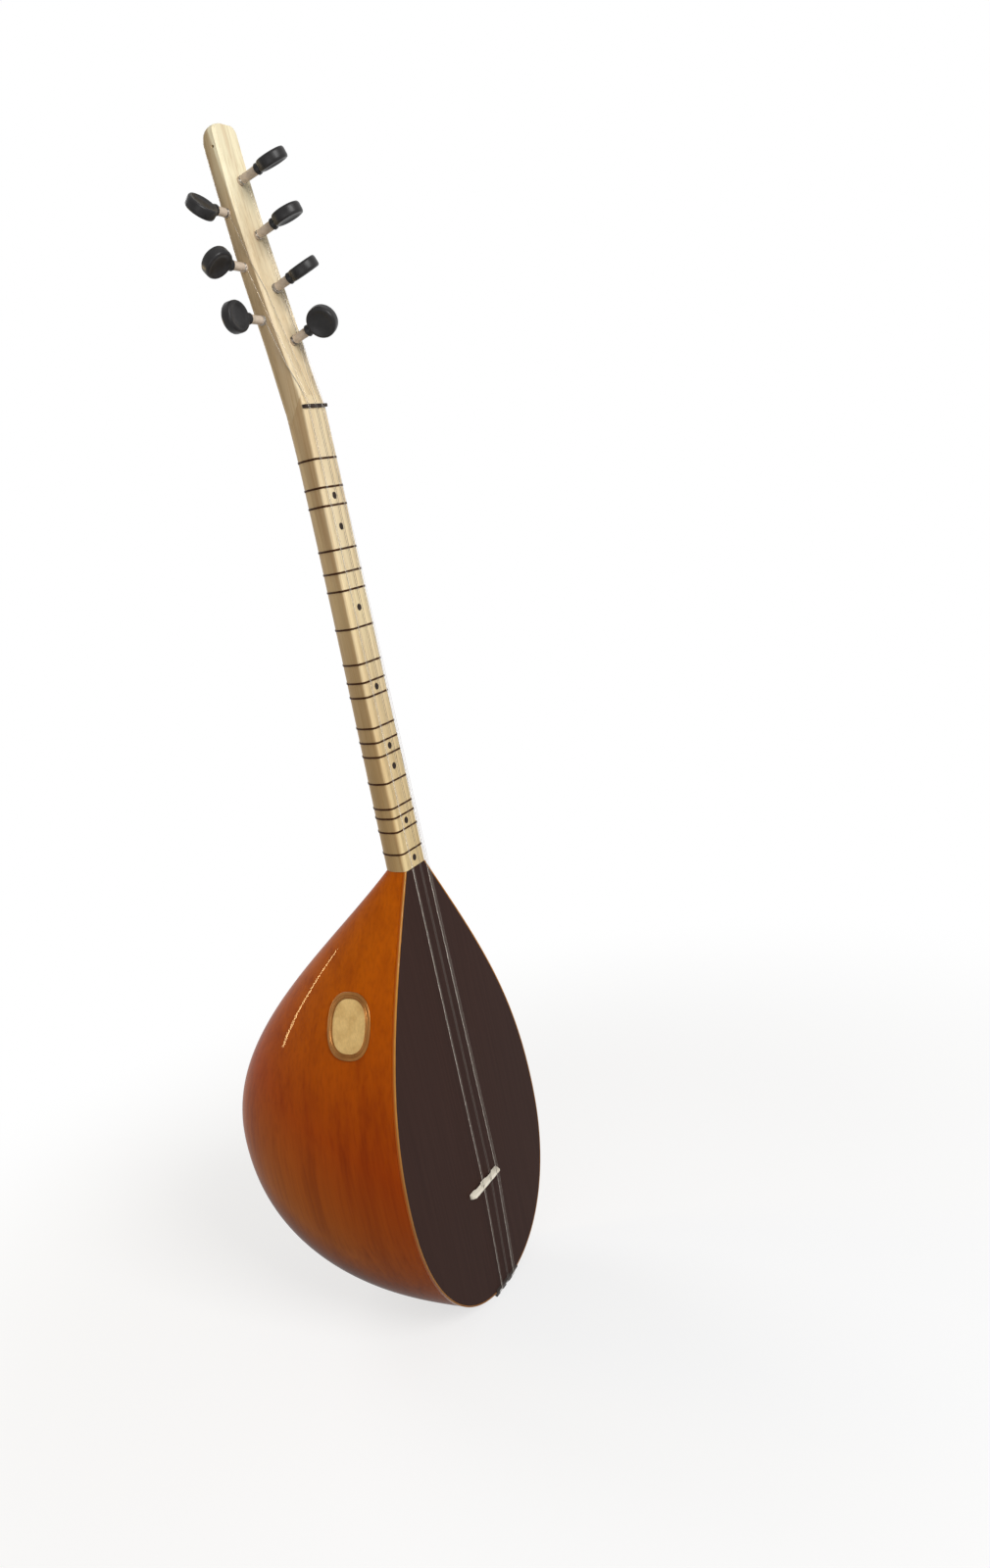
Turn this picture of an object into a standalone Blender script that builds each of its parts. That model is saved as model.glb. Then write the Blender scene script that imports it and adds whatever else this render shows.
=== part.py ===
"""A short-necked baglama with a bowl carved from one piece, seven friction pegs and tied frets.

All sizes are in metres. X runs to the viewer's right, Y from the soundboard into the bowl, and Z up
along the neck. The front of the neck is the plane Y = 0, and the tail end of the body is at Z = 0.
"""
import math

import bmesh
import bpy
from mathutils import Matrix, Vector

# Overall proportions
SCALE_LENGTH = 0.700
NECK_LENGTH = 0.385
BODY_LENGTH = 0.412
HEAD_LENGTH = 0.218
HEAD_ANGLE_DEG = 8.0

# Clearances
GAP = 0.0003
RUNNING_GAP = 0.0003

# Body outline, seen from the front
NECK_END_WIDTH = 0.0314
BODY_WIDTH = 0.230
BODY_WIDEST_DOWN = 0.270
TAIL_ROUNDNESS = 2.2

# Bowl
NECK_END_DEPTH = 0.0265
BOWL_DEPTH = 0.240
BOWL_DEEPEST_DOWN = 0.245
BOWL_WALL = 0.0045
SECTION_ROUNDNESS = 2.35
SIDE_BULGE = 0.06
NECK_BLOCK_LENGTH = 0.055
CAVITY_END_ROUNDING = 0.030
SOUND_HOLE_DIAMETER = 0.018
SOUND_HOLE_BACK = 0.055

# Soundboard and its edge
EDGE_STEP = 0.0010
SOUNDBOARD_THICKNESS = 0.0027
SOUNDBOARD_CROWN = 0.0012
BINDING_WIDTH = 0.0014
BRACE_DOWN = 0.170
BRACE_WIDTH = 0.006
BRACE_HEIGHT = 0.008

# Neck
NECK_WIDTH_AT_BODY = 0.0330
NECK_WIDTH_AT_NUT = 0.0286
NECK_DEPTH_AT_BODY = 0.0280
NECK_DEPTH_AT_NUT = 0.0245
NECK_CORNER_AT_BODY = 0.0040
NECK_CORNER_AT_NUT = 0.0016
TENON_WIDTH = 0.017
TENON_LENGTH = 0.040
TENON_DEPTH = 0.017
SCARF_FRONT = 0.010
SCARF_BACK = -0.020

# Headstock
HEAD_WAIST_WIDTH = 0.0274
HEAD_WAIST_UP = 0.018
HEAD_WIDTH = 0.0304
HEAD_TIP_WIDTH = 0.0288
HEAD_THICKNESS_LOW = 0.0205
HEAD_THICKNESS_MIDDLE = 0.0190
HEAD_THICKNESS_TIP = 0.0170
TIP_SWEEP = 0.0045
TIP_SWEEP_FROM = 0.118
HEAD_CHAMFER = 0.0023
TIP_CORNER_RADIUS = 0.006
TIP_BACK_RADIUS = 0.015
HANGING_HOLE_DIAMETER = 0.0026
HANGING_HOLE_UP = 0.202
HANGING_HOLE_BACK = 0.0055

# Pegs
FRONT_PEG_FIRST_UP = 0.0527
SIDE_PEG_FIRST_UP = 0.0725
PEG_SPACING = 0.0412
SIDE_PEG_BACK = 0.0100
FRONT_PEG_LEAN_DEG = 6.0
SIDE_PEG_LEAN_DEG = 3.0
PEG_DIAMETER = 0.0066
PEG_TAPER = 0.020
FRONT_PEGS_EXPOSED = (0.0163, 0.0155, 0.0170, 0.0180)
SIDE_PEGS_EXPOSED = (0.0165, 0.0160, 0.0130)
PEG_TIP_SETBACK = 0.0010
COLLAR_DIAMETER = 0.0088
COLLAR_LENGTH = 0.0038
COLLAR_INSIDE = 0.0062
COLLAR_END_DIAMETER = 0.0052
PEG_PIN_DIAMETER = 0.0034
PEG_PIN_LENGTH = 0.0070
THUMB_PIECE_LENGTH = 0.0242
THUMB_PIECE_THICKNESS = 0.0088
THUMB_PIECE_DISH = 0.0017
FRONT_PEG_TURNS_DEG = (27.0, 110.0, 102.0, 108.0)
SIDE_PEG_TURNS_DEG = (-8.0, -60.0, 34.0)

# Nut, bridge and tail
NUT_THICKNESS = 0.0026
NUT_SEAT_DEPTH = 0.0020
NUT_TOP = 0.0020
STRING_HEIGHT_AT_NUT = 0.0016
STRING_HEIGHT_AT_BRIDGE = 0.0062
BRIDGE_LENGTH = 0.048
BRIDGE_CREST_LENGTH = 0.0446
BRIDGE_FOOT_THICKNESS = 0.0046
BRIDGE_TOP_THICKNESS = 0.0024
BRIDGE_ARCH_HEIGHT = 0.0012
# The loose bridge stands nearer the neck than the scale asks, and off the centre
BRIDGE_SET_UP = 0.011
BRIDGE_SET_LEFT = 0.006
SADDLE_WIDTH = 0.040
SADDLE_DEPTH = 0.0045
SADDLE_TOP = 0.0006
COMB_WIDTH = 0.034
COMB_DEPTH = 0.0075
COMB_THICKNESS = 0.0030
TOOTH_WIDTH = 0.0062
TOOTH_LENGTH = 0.0032
TOOTH_DEPTH = 0.0030

# Strings, as courses from the viewer's left to right
COURSE_GAP_AT_NUT = 0.0095
COURSE_GAP_AT_BRIDGE = 0.0130
COURSE_GAP_AT_TAIL = 0.0120
STRING_GAP_IN_COURSE = 0.0018
PLAIN_STRING_DIAMETER = 0.00020
MIDDLE_STRING_DIAMETER = 0.00030
WOUND_STRING_DIAMETER = 0.00050
WRAP_HEIGHT = 0.0030

# Tied frets and fingerboard dots
FRET_CENTS = (100, 160, 200, 300, 355, 400, 500, 600, 655, 700, 800, 850, 900, 1000, 1100, 1140,
              1200, 1300)
FRET_WIDTH = 0.0016
FRET_HEIGHT = 0.0009
DOT_AFTER_FRET = (2, 3, 6, 9, 12, 13, 16, 18)
DOT_DIAMETER = 0.0058
DOT_DEPTH = 0.0012

# Oval badge on the bowl's left flank, measured as seen from the side
BADGE_DOWN = 0.115
BADGE_BACK = 0.0485
BADGE_HEIGHT = 0.052
BADGE_WIDTH = 0.046
BADGE_ROUNDNESS = 2.5
BADGE_RIM_WIDTH = 0.0050
BADGE_THICKNESS = 0.0012
BADGE_GROOVE_DEPTH = 0.0005

# Mesh fineness
BOWL_RINGS = 27
BOWL_POINTS = 25
CAVITY_RINGS = 17
CAVITY_POINTS = 19
OUTLINE_UPPER_STEPS = 14
OUTLINE_LOWER_STEPS = 11
NECK_BACK_POINTS = 12

NECK_END = BODY_LENGTH
NUT_LINE = BODY_LENGTH + NECK_LENGTH
BRIDGE_LINE = NUT_LINE - SCALE_LENGTH + BRIDGE_SET_UP
HEAD_ANGLE = math.radians(HEAD_ANGLE_DEG)
RIM_FRONT = EDGE_STEP + SOUNDBOARD_THICKNESS + GAP


def clear_objects():
    for old in list(bpy.data.objects):
        bpy.data.objects.remove(old, do_unlink=True)


def make_material(name, colour, roughness, metallic=0.0):
    material = bpy.data.materials.new(name)
    material.use_nodes = True
    shader = material.node_tree.nodes["Principled BSDF"]
    shader.inputs["Base Color"].default_value = (*colour, 1.0)
    shader.inputs["Roughness"].default_value = roughness
    shader.inputs["Metallic"].default_value = metallic
    return material


def object_from(name, bm, material=None, smooth_angle_deg=None):
    bmesh.ops.recalc_face_normals(bm, faces=bm.faces)
    mesh = bpy.data.meshes.new(name)
    bm.to_mesh(mesh)
    bm.free()
    if smooth_angle_deg is not None:
        mesh.shade_smooth()
        mesh.set_sharp_from_angle(angle=math.radians(smooth_angle_deg))
    item = bpy.data.objects.new(name, mesh)
    if material is not None:
        mesh.materials.append(material)
    bpy.context.collection.objects.link(item)
    return item


def add_ring(bm, points):
    return [bm.verts.new(point) for point in points]


def join_rings(bm, lower, upper, closed=True):
    count = len(lower)
    for i in range(count if closed else count - 1):
        j = (i + 1) % count
        bm.faces.new((lower[i], lower[j], upper[j], upper[i]))


def fan(bm, ring, tip):
    for i in range(len(ring)):
        bm.faces.new((ring[i], ring[(i + 1) % len(ring)], tip))


def loft(rings):
    """A closed body through rings of points, with a flat face on each end."""
    bm = bmesh.new()
    made = [add_ring(bm, ring) for ring in rings]
    for lower, upper in zip(made, made[1:]):
        join_rings(bm, lower, upper)
    bm.faces.new(list(reversed(made[0])))
    bm.faces.new(made[-1])
    return bm


def prism(profile, low, high, place):
    """A profile of (a, b) points, extruded from low to high; place turns (a, b, c) into a point."""
    return loft([[place(a, b, c) for a, b in profile] for c in (low, high)])


def box(low, high):
    profile = [(low[0], low[1]), (high[0], low[1]), (high[0], high[1]), (low[0], high[1])]
    return prism(profile, low[2], high[2], lambda a, b, c: (a, b, c))


def cylinder(start, end, radius_start, radius_end, sides):
    axis = (end - start).normalized()
    side = axis.orthogonal().normalized()
    other = axis.cross(side)
    rings = []
    for centre, radius in ((start, radius_start), (end, radius_end)):
        turns = [2 * math.pi * i / sides for i in range(sides)]
        rings.append([centre + radius * (math.cos(t) * side + math.sin(t) * other) for t in turns])
    return loft(rings)


def cut(body, cutters, operation="DIFFERENCE"):
    for cutter in cutters:
        cutter.hide_render = True
        cutter.display_type = "WIRE"
        change = body.modifiers.new(cutter.name, "BOOLEAN")
        change.operation = operation
        change.solver = "EXACT"
        change.object = cutter


def bezier(a, b, c, d, t):
    return (1 - t) ** 3 * a + 3 * (1 - t) ** 2 * t * b + 3 * (1 - t) * t * t * c + t ** 3 * d


def squared(wave, roundness):
    """A sine or cosine for a curve between an oval and a rectangle, which is an oval at 2."""
    return math.copysign(abs(wave) ** (2 / roundness), wave)


def smooth_through(stations, s):
    """A smooth curve through (place, value) stations, straight outside the first and last."""
    places = [place for place, _ in stations]
    values = [value for _, value in stations]
    last = len(stations) - 1
    slopes = []
    for i in range(last + 1):
        low, high = max(i - 1, 0), min(i + 1, last)
        slopes.append((values[high] - values[low]) / (places[high] - places[low]))
    i = 0
    while i < last - 1 and s > places[i + 1]:
        i += 1
    span = places[i + 1] - places[i]
    t = min(max((s - places[i]) / span, 0.0), 1.0)
    start = (2 * t ** 3 - 3 * t ** 2 + 1) * values[i] + (t ** 3 - 2 * t ** 2 + t) * span * slopes[i]
    end = (3 * t ** 2 - 2 * t ** 3) * values[i + 1] + (t ** 3 - t ** 2) * span * slopes[i + 1]
    return start + end


class Swell:
    """One half of a pear shape: a bezier from the neck end to its peak, then a rounded tail."""

    def __init__(self, start, peak, peak_down, rise, run, landing):
        self.values = (start, start + rise * (peak - start), peak, peak)
        self.downs = (0.0, run * peak_down, (1 - landing) * peak_down, peak_down)
        self.peak = peak
        self.peak_down = peak_down

    def upper_point(self, t):
        return bezier(*self.values, t), bezier(*self.downs, t)

    def lower_point(self, turn):
        power = 2 / TAIL_ROUNDNESS
        drop = (BODY_LENGTH - self.peak_down) * math.sin(turn) ** power
        return self.peak * max(math.cos(turn), 0.0) ** power, self.peak_down + drop

    def at(self, down):
        if down >= self.peak_down:
            share = min((down - self.peak_down) / (BODY_LENGTH - self.peak_down), 1.0)
            return self.peak * (1 - share ** TAIL_ROUNDNESS) ** (1 / TAIL_ROUNDNESS)
        low, high = 0.0, 1.0
        for _ in range(40):
            middle = (low + high) / 2
            if bezier(*self.downs, middle) < down:
                low = middle
            else:
                high = middle
        return bezier(*self.values, low)


OUTLINE = Swell(NECK_END_WIDTH / 2, BODY_WIDTH / 2, BODY_WIDEST_DOWN, 0.60, 0.38, 0.37)
PROFILE = Swell(NECK_END_DEPTH, BOWL_DEPTH, BOWL_DEEPEST_DOWN, 0.37, 0.29, 0.39)


def bowl_section(half_width, depth, count, front=RIM_FRONT):
    """Points of one cross-section, from the left rim round the back to the right rim."""
    points = []
    for i in range(count):
        turn = math.pi * i / (count - 1)
        across = squared(math.cos(turn), SECTION_ROUNDNESS)
        bulge = 1 + SIDE_BULGE * math.sin(2 * min(turn, math.pi - turn))
        back = front + (depth - front) * squared(max(math.sin(turn), 0.0), SECTION_ROUNDNESS)
        points.append((-half_width * bulge * across, back))
    return points


def bowl_point(down, back):
    """The point on the bowl's left flank at one distance down the body and one distance back."""
    depth = PROFILE.at(down)
    share = (back - RIM_FRONT) / (depth - RIM_FRONT)
    turn = math.asin(share ** (SECTION_ROUNDNESS / 2))
    bulge = 1 + SIDE_BULGE * math.sin(2 * turn)
    across = OUTLINE.at(down) * bulge * math.cos(turn) ** (2 / SECTION_ROUNDNESS)
    return Vector((-across, back, NECK_END - down))


def bowl_normal(down, back):
    step = 0.001
    along = bowl_point(down - step, back) - bowl_point(down + step, back)
    inward = bowl_point(down, back + step) - bowl_point(down, back - step)
    return along.cross(inward).normalized()


def crowded_downs(first, last, count, crowding):
    """Distances down the body that crowd together towards the tail."""
    return [last - (last - first) * (1 - i / count) ** crowding for i in range(count)]


def make_bowl(material):
    bm = bmesh.new()
    rings = []
    for down in crowded_downs(0.0, BODY_LENGTH, BOWL_RINGS, 1.9):
        section = bowl_section(OUTLINE.at(down), PROFILE.at(down), BOWL_POINTS)
        rings.append(add_ring(bm, [(x, y, NECK_END - down) for x, y in section]))
    for lower, upper in zip(rings, rings[1:]):
        join_rings(bm, lower, upper)
    bm.faces.new(list(reversed(rings[0])))
    fan(bm, rings[-1], bm.verts.new((0.0, RIM_FRONT, NECK_END - BODY_LENGTH)))
    bowl = object_from("bowl", bm, material, 40)
    cut(bowl, [make_cavity(), make_tenon_socket(), make_sound_hole()])
    return bowl


def cavity_sizes(down):
    """Half width and depth of the hollow, a wall's thickness inside the bowl."""
    sizes = []
    for shape in (OUTLINE, PROFILE):
        if down <= shape.peak_down:
            sizes.append(shape.at(down) - BOWL_WALL)
        else:
            stretch = (BODY_LENGTH - shape.peak_down) / (BODY_LENGTH - BOWL_WALL - shape.peak_down)
            outside = shape.at(shape.peak_down + (down - shape.peak_down) * stretch)
            sizes.append(outside * (1 - BOWL_WALL / shape.peak))
    share = min((down - NECK_BLOCK_LENGTH) / CAVITY_END_ROUNDING, 1.0)
    rounding = math.sqrt(1 - (1 - share) ** 2)
    return sizes[0] * rounding, RIM_FRONT + (sizes[1] - RIM_FRONT) * rounding


def make_cavity():
    """The hollow, as a solid that stands out of the rim so that it opens the bowl's front."""
    first = NECK_BLOCK_LENGTH + 0.02 * CAVITY_END_ROUNDING
    last = BODY_LENGTH - BOWL_WALL
    downs = [NECK_BLOCK_LENGTH + share * CAVITY_END_ROUNDING for share in (0.02, 0.12, 0.35, 0.65)]
    start = NECK_BLOCK_LENGTH + CAVITY_END_ROUNDING
    downs += crowded_downs(start, last, CAVITY_RINGS, 1.9)
    proud = RIM_FRONT - BOWL_WALL
    rings = []
    for down in downs:
        half_width, depth = cavity_sizes(down)
        section = bowl_section(half_width, depth, CAVITY_POINTS)
        section = [(section[0][0], proud)] + section + [(section[-1][0], proud)]
        rings.append([(x, y, NECK_END - down) for x, y in section])
    return object_from("cavity_cutter", loft(rings))


def make_tenon_socket():
    half = TENON_WIDTH / 2 + GAP
    low = (-half, RIM_FRONT - BOWL_WALL, NECK_END - TENON_LENGTH - GAP)
    high = (half, RIM_FRONT + TENON_DEPTH + GAP, NECK_END + BOWL_WALL)
    return object_from("tenon_cutter", box(low, high))


def make_sound_hole():
    start = Vector((0.0, SOUND_HOLE_BACK, -BOWL_WALL))
    end = Vector((0.0, SOUND_HOLE_BACK, 6 * BOWL_WALL))
    radius = SOUND_HOLE_DIAMETER / 2
    return object_from("sound_hole_cutter", cylinder(start, end, radius, radius, 24))


def outline_points(inset):
    """The body's outline moved inwards, from the left neck end round the tail to the right."""
    right = [OUTLINE.upper_point(i / OUTLINE_UPPER_STEPS) for i in range(OUTLINE_UPPER_STEPS)]
    quarter = math.pi / 2
    steps = OUTLINE_LOWER_STEPS
    right += [OUTLINE.lower_point(quarter * i / steps) for i in range(steps)]
    points = [(-x, NECK_END - down) for x, down in right]
    points.append((0.0, NECK_END - BODY_LENGTH))
    points += [(x, NECK_END - down) for x, down in reversed(right)]
    moved = []
    for i, (x, z) in enumerate(points):
        before = points[max(i - 1, 0)]
        after = points[min(i + 1, len(points) - 1)]
        along = Vector((after[0] - before[0], after[1] - before[1])).normalized()
        inward = Vector((-along.y, along.x))
        if i in (0, len(points) - 1):
            moved.append((x + math.copysign(inset / abs(inward.x), -x), z))
        else:
            moved.append((x + inward.x * inset, z + inward.y * inset))
    return moved


def soundboard_crown(x, z):
    """How far the soundboard's arch stands in front of its edge."""
    down = min(max(NECK_END - z, 0.0), BODY_LENGTH)
    half = max(OUTLINE.at(down), abs(x), 0.001)
    height = z - BRIDGE_LINE
    reach = NECK_END - BRIDGE_LINE if height > 0 else BRIDGE_LINE
    return SOUNDBOARD_CROWN * (1 - (x / half) ** 2) * max(1 - (height / reach) ** 2, 0.0)


def soundboard_front(x, z):
    return EDGE_STEP - soundboard_crown(x, z)


def make_soundboard(material):
    edge = outline_points(BINDING_WIDTH + GAP)
    bm = bmesh.new()
    layers = []
    for share in (1.0, 0.93, 0.75, 0.5, 0.25):
        flat = [(x * share, BRIDGE_LINE + (z - BRIDGE_LINE) * share) for x, z in edge]
        front = [(x, soundboard_front(x, z) if share < 1 else EDGE_STEP, z) for x, z in flat]
        back = [(x, y + SOUNDBOARD_THICKNESS, z) for x, y, z in front]
        layers.append((add_ring(bm, front), add_ring(bm, back)))
    join_rings(bm, layers[0][1], layers[0][0])
    for outer, inner in zip(layers, layers[1:]):
        join_rings(bm, outer[0], inner[0])
        join_rings(bm, inner[1], outer[1])
    top = soundboard_front(0.0, BRIDGE_LINE)
    fan(bm, layers[-1][0], bm.verts.new((0.0, top, BRIDGE_LINE)))
    centre = bm.verts.new((0.0, top + SOUNDBOARD_THICKNESS, BRIDGE_LINE))
    fan(bm, list(reversed(layers[-1][1])), centre)
    board = object_from("soundboard", bm, material, 30)
    cut(board, [make_saddle_notch("soundboard_notch_cutter")])
    return board


def make_bindings(material):
    """The pale strips round the soundboard's edge, one on each side from the neck to the saddle."""
    outer = outline_points(0.0)
    inner = outline_points(BINDING_WIDTH)
    front = EDGE_STEP + GAP / 2
    back = EDGE_STEP + SOUNDBOARD_THICKNESS
    rings = []
    for (outer_x, outer_z), (inner_x, inner_z) in zip(outer, inner):
        rings.append([(outer_x, front, outer_z), (inner_x, front, inner_z),
                      (inner_x, back, inner_z), (outer_x, back, outer_z)])
    middle = len(rings) // 2
    for side, part in (("left", rings[:middle + 1]), ("right", rings[middle:])):
        binding = object_from(f"edge_binding_{side}", loft(part), material)
        cut(binding, [make_saddle_notch(f"binding_{side}_notch_cutter")])


def make_saddle_notch(name):
    half = SADDLE_WIDTH / 2 + GAP
    low = (-half, -BOWL_WALL, -BOWL_WALL)
    high = (half, RIM_FRONT, SADDLE_DEPTH + GAP)
    return object_from(name, box(low, high))


def tail_edge(x):
    """How far the tail's outline has risen at a distance from the middle."""
    half = BODY_WIDTH / 2
    drop = BODY_LENGTH - BODY_WIDEST_DOWN
    share = (1 - (abs(x) / half) ** TAIL_ROUNDNESS) ** (1 / TAIL_ROUNDNESS)
    return drop * (1 - share)


def make_saddle(material):
    """The strip let into the tail end of the soundboard, over which the strings turn."""
    back = RIM_FRONT - GAP
    rings = []
    for i in range(9):
        x = SADDLE_WIDTH * (i / 8 - 0.5)
        low = tail_edge(x)
        middle = (low + SADDLE_DEPTH) / 2
        ease = SADDLE_DEPTH / 4
        rings.append([(x, back, low), (x, back, SADDLE_DEPTH), (x, EDGE_STEP - GAP, SADDLE_DEPTH),
                      (x, -SADDLE_TOP, middle + ease / 2), (x, -SADDLE_TOP, middle - ease / 2),
                      (x, EDGE_STEP - GAP, low)])
    return object_from("tail_saddle", loft(rings), material)


def course_centres(gap):
    return (-gap, 0.0, gap)


def make_comb(material):
    """The string holder under the saddle, with one tooth for each course."""
    front = RIM_FRONT + 2 * GAP
    low = -GAP - COMB_THICKNESS
    half = TOOTH_WIDTH / 2
    stations = {-COMB_WIDTH / 2, COMB_WIDTH / 2}
    for centre in course_centres(COURSE_GAP_AT_TAIL):
        stations.update((centre - half, centre + half))
    rings = []
    for x in sorted(stations):
        seat = tail_edge(x) - GAP
        rings.append([(x, front, seat), (x, front + COMB_DEPTH, seat),
                      (x, front + COMB_DEPTH, low), (x, front, low)])
    comb = object_from("string_comb", loft(rings), material)
    teeth = []
    for i, centre in enumerate(course_centres(COURSE_GAP_AT_TAIL)):
        profile = [(front, low - TOOTH_LENGTH), (front + TOOTH_DEPTH / 2, low - TOOTH_LENGTH),
                   (front + TOOTH_DEPTH, low - TOOTH_LENGTH / 2),
                   (front + TOOTH_DEPTH, low + COMB_THICKNESS / 2),
                   (front, low + COMB_THICKNESS / 2)]
        solid = prism(profile, centre - half, centre + half, lambda a, b, c: (c, a, b))
        teeth.append(object_from(f"tooth_shape_{i + 1}", solid))
    cut(comb, teeth, "UNION")
    return comb


def make_brace(material):
    """The bar glued across the inside of the soundboard."""
    z = NECK_END - BRACE_DOWN
    half = min(cavity_sizes(BRACE_DOWN - BRACE_WIDTH)[0], cavity_sizes(BRACE_DOWN)[0]) - GAP
    rings = []
    for i in range(9):
        x = half * (i / 4 - 1)
        edge = abs(i / 4 - 1) > 0.99
        front = max(soundboard_front(x, z - BRACE_WIDTH / 2), soundboard_front(x, z + BRACE_WIDTH / 2))
        front += SOUNDBOARD_THICKNESS + GAP
        back = RIM_FRONT + BRACE_HEIGHT * (0.4 if edge else 1.0)
        rings.append([(x, front, z - BRACE_WIDTH / 2), (x, front, z + BRACE_WIDTH / 2),
                      (x, back, z + BRACE_WIDTH / 4), (x, back, z - BRACE_WIDTH / 4)])
    return object_from("soundboard_brace", loft(rings), material)


def stick_frame(s):
    """A place on the front of the neck and headstock, with the direction that runs to the back."""
    if s < 0:
        return Vector((0.0, 0.0, NUT_LINE + s)), Vector((0.0, 1.0, 0.0))
    turn = HEAD_ANGLE if s > 0 else HEAD_ANGLE / 2
    stretch = 1.0 if s > 0 else 1 / math.cos(HEAD_ANGLE / 2)
    place = Vector((0.0, s * math.sin(HEAD_ANGLE), NUT_LINE + s * math.cos(HEAD_ANGLE)))
    back = Vector((0.0, math.cos(turn), -math.sin(turn)))
    past = max(s - TIP_SWEEP_FROM, 0.0) / (HEAD_LENGTH - TIP_SWEEP_FROM)
    place -= back * TIP_SWEEP * past ** 2
    slope = 2 * TIP_SWEEP * past / (HEAD_LENGTH - TIP_SWEEP_FROM)
    back = Matrix.Rotation(math.atan(slope), 3, "X") @ back
    return place, stretch * back


def stick_half_width(s):
    level = 0.30 * HEAD_LENGTH
    stations = [(-NECK_LENGTH, NECK_WIDTH_AT_BODY), (-0.15 * NECK_LENGTH, NECK_WIDTH_AT_NUT + 0.0018),
                (0.0, NECK_WIDTH_AT_NUT), (HEAD_WAIST_UP, HEAD_WAIST_WIDTH), (level, HEAD_WIDTH),
                (0.65 * HEAD_LENGTH, HEAD_WIDTH), (HEAD_LENGTH, HEAD_TIP_WIDTH)]
    width = smooth_through(stations, s)
    past = s - (HEAD_LENGTH - TIP_CORNER_RADIUS)
    if past > 0:
        share = past / TIP_CORNER_RADIUS
        width -= 2 * TIP_CORNER_RADIUS * (1 - math.sqrt(max(1 - share * share, 0.0)))
    return width / 2


def stick_depth(s):
    stations = [(-NECK_LENGTH, NECK_DEPTH_AT_BODY), (0.0, NECK_DEPTH_AT_NUT),
                (0.25 * HEAD_LENGTH, HEAD_THICKNESS_LOW), (0.5 * HEAD_LENGTH, HEAD_THICKNESS_MIDDLE),
                (0.72 * HEAD_LENGTH, HEAD_THICKNESS_TIP), (HEAD_LENGTH, HEAD_THICKNESS_TIP)]
    depth = smooth_through(stations, s)
    radius = min(TIP_BACK_RADIUS, 0.8 * HEAD_THICKNESS_TIP)
    past = s - (HEAD_LENGTH - radius)
    if past > 0:
        share = past / radius
        depth -= radius * (1 - math.sqrt(max(1 - share * share, 0.0)))
    return depth


def stick_corner(s):
    stations = [(-NECK_LENGTH, NECK_CORNER_AT_BODY), (0.0, NECK_CORNER_AT_NUT),
                (0.2 * HEAD_LENGTH, HEAD_CHAMFER), (HEAD_LENGTH, HEAD_CHAMFER)]
    return smooth_through(stations, s)


def stick_roundness(s):
    """The back is half an ellipse on the neck and nearly square on the headstock."""
    stations = [(-NECK_LENGTH, 2.1), (-0.05, 2.1), (0.25 * HEAD_LENGTH, 4.5), (HEAD_LENGTH, 5.0)]
    return smooth_through(stations, s)


def stick_section(s, offset=0.0):
    """Points round the neck or headstock at one place, moved outwards by an offset."""
    half, depth, corner = stick_half_width(s), stick_depth(s), stick_corner(s)
    roundness = stick_roundness(s)
    flat = []
    for turn in (0.0, math.pi / 4):
        ease = corner if turn else 0.0
        flat.append((half - corner + ease * math.sin(turn), ease * (1 - math.cos(turn))))
    if s > 0:
        share = min(s / (0.2 * HEAD_LENGTH), 1.0)
        x, y = flat[1]
        flat[1] = (x - share * (x - (half - corner / 2)), y + share * (corner / 2 - y))
    for i in range(NECK_BACK_POINTS + 1):
        turn = math.pi * i / NECK_BACK_POINTS
        across = squared(math.cos(turn), roundness)
        back = squared(max(math.sin(turn), 0.0), roundness)
        flat.append((half * across, corner + (depth - corner) * back))
    flat += [(-x, y) for x, y in reversed(flat[:2])]
    place, back = stick_frame(s)
    points = []
    for i, (x, y) in enumerate(flat):
        before, after = flat[i - 1], flat[(i + 1) % len(flat)]
        first = Vector((x - before[0], y - before[1])).normalized()
        second = Vector((after[0] - x, after[1] - y)).normalized()
        mean = (first + second).normalized()
        outward = Vector((mean.y, -mean.x)) * (offset / max(mean.dot(first), 0.5))
        points.append(place + Vector((x + outward.x, 0.0, 0.0)) + (y + outward.y) * back)
    return points


def keep_side(bm, point, normal):
    """Cuts a body with a plane, keeps the side that the normal points away from and closes it."""
    everything = bm.verts[:] + bm.edges[:] + bm.faces[:]
    made = bmesh.ops.bisect_plane(bm, geom=everything, plane_co=point, plane_no=normal,
                                  clear_outer=True)
    rim = [item for item in made["geom_cut"] if isinstance(item, bmesh.types.BMEdge)]
    bmesh.ops.contextual_create(bm, geom=rim)


def scarf_plane():
    """The slanted glue line between the neck and the headstock."""
    front, _ = stick_frame(SCARF_FRONT)
    back = Vector((0.0, stick_depth(SCARF_BACK), NUT_LINE + SCARF_BACK))
    along = (back - front).normalized()
    normal = Vector((0.0, -along.z, along.y))
    return front, normal if normal.z > 0 else -normal


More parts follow.
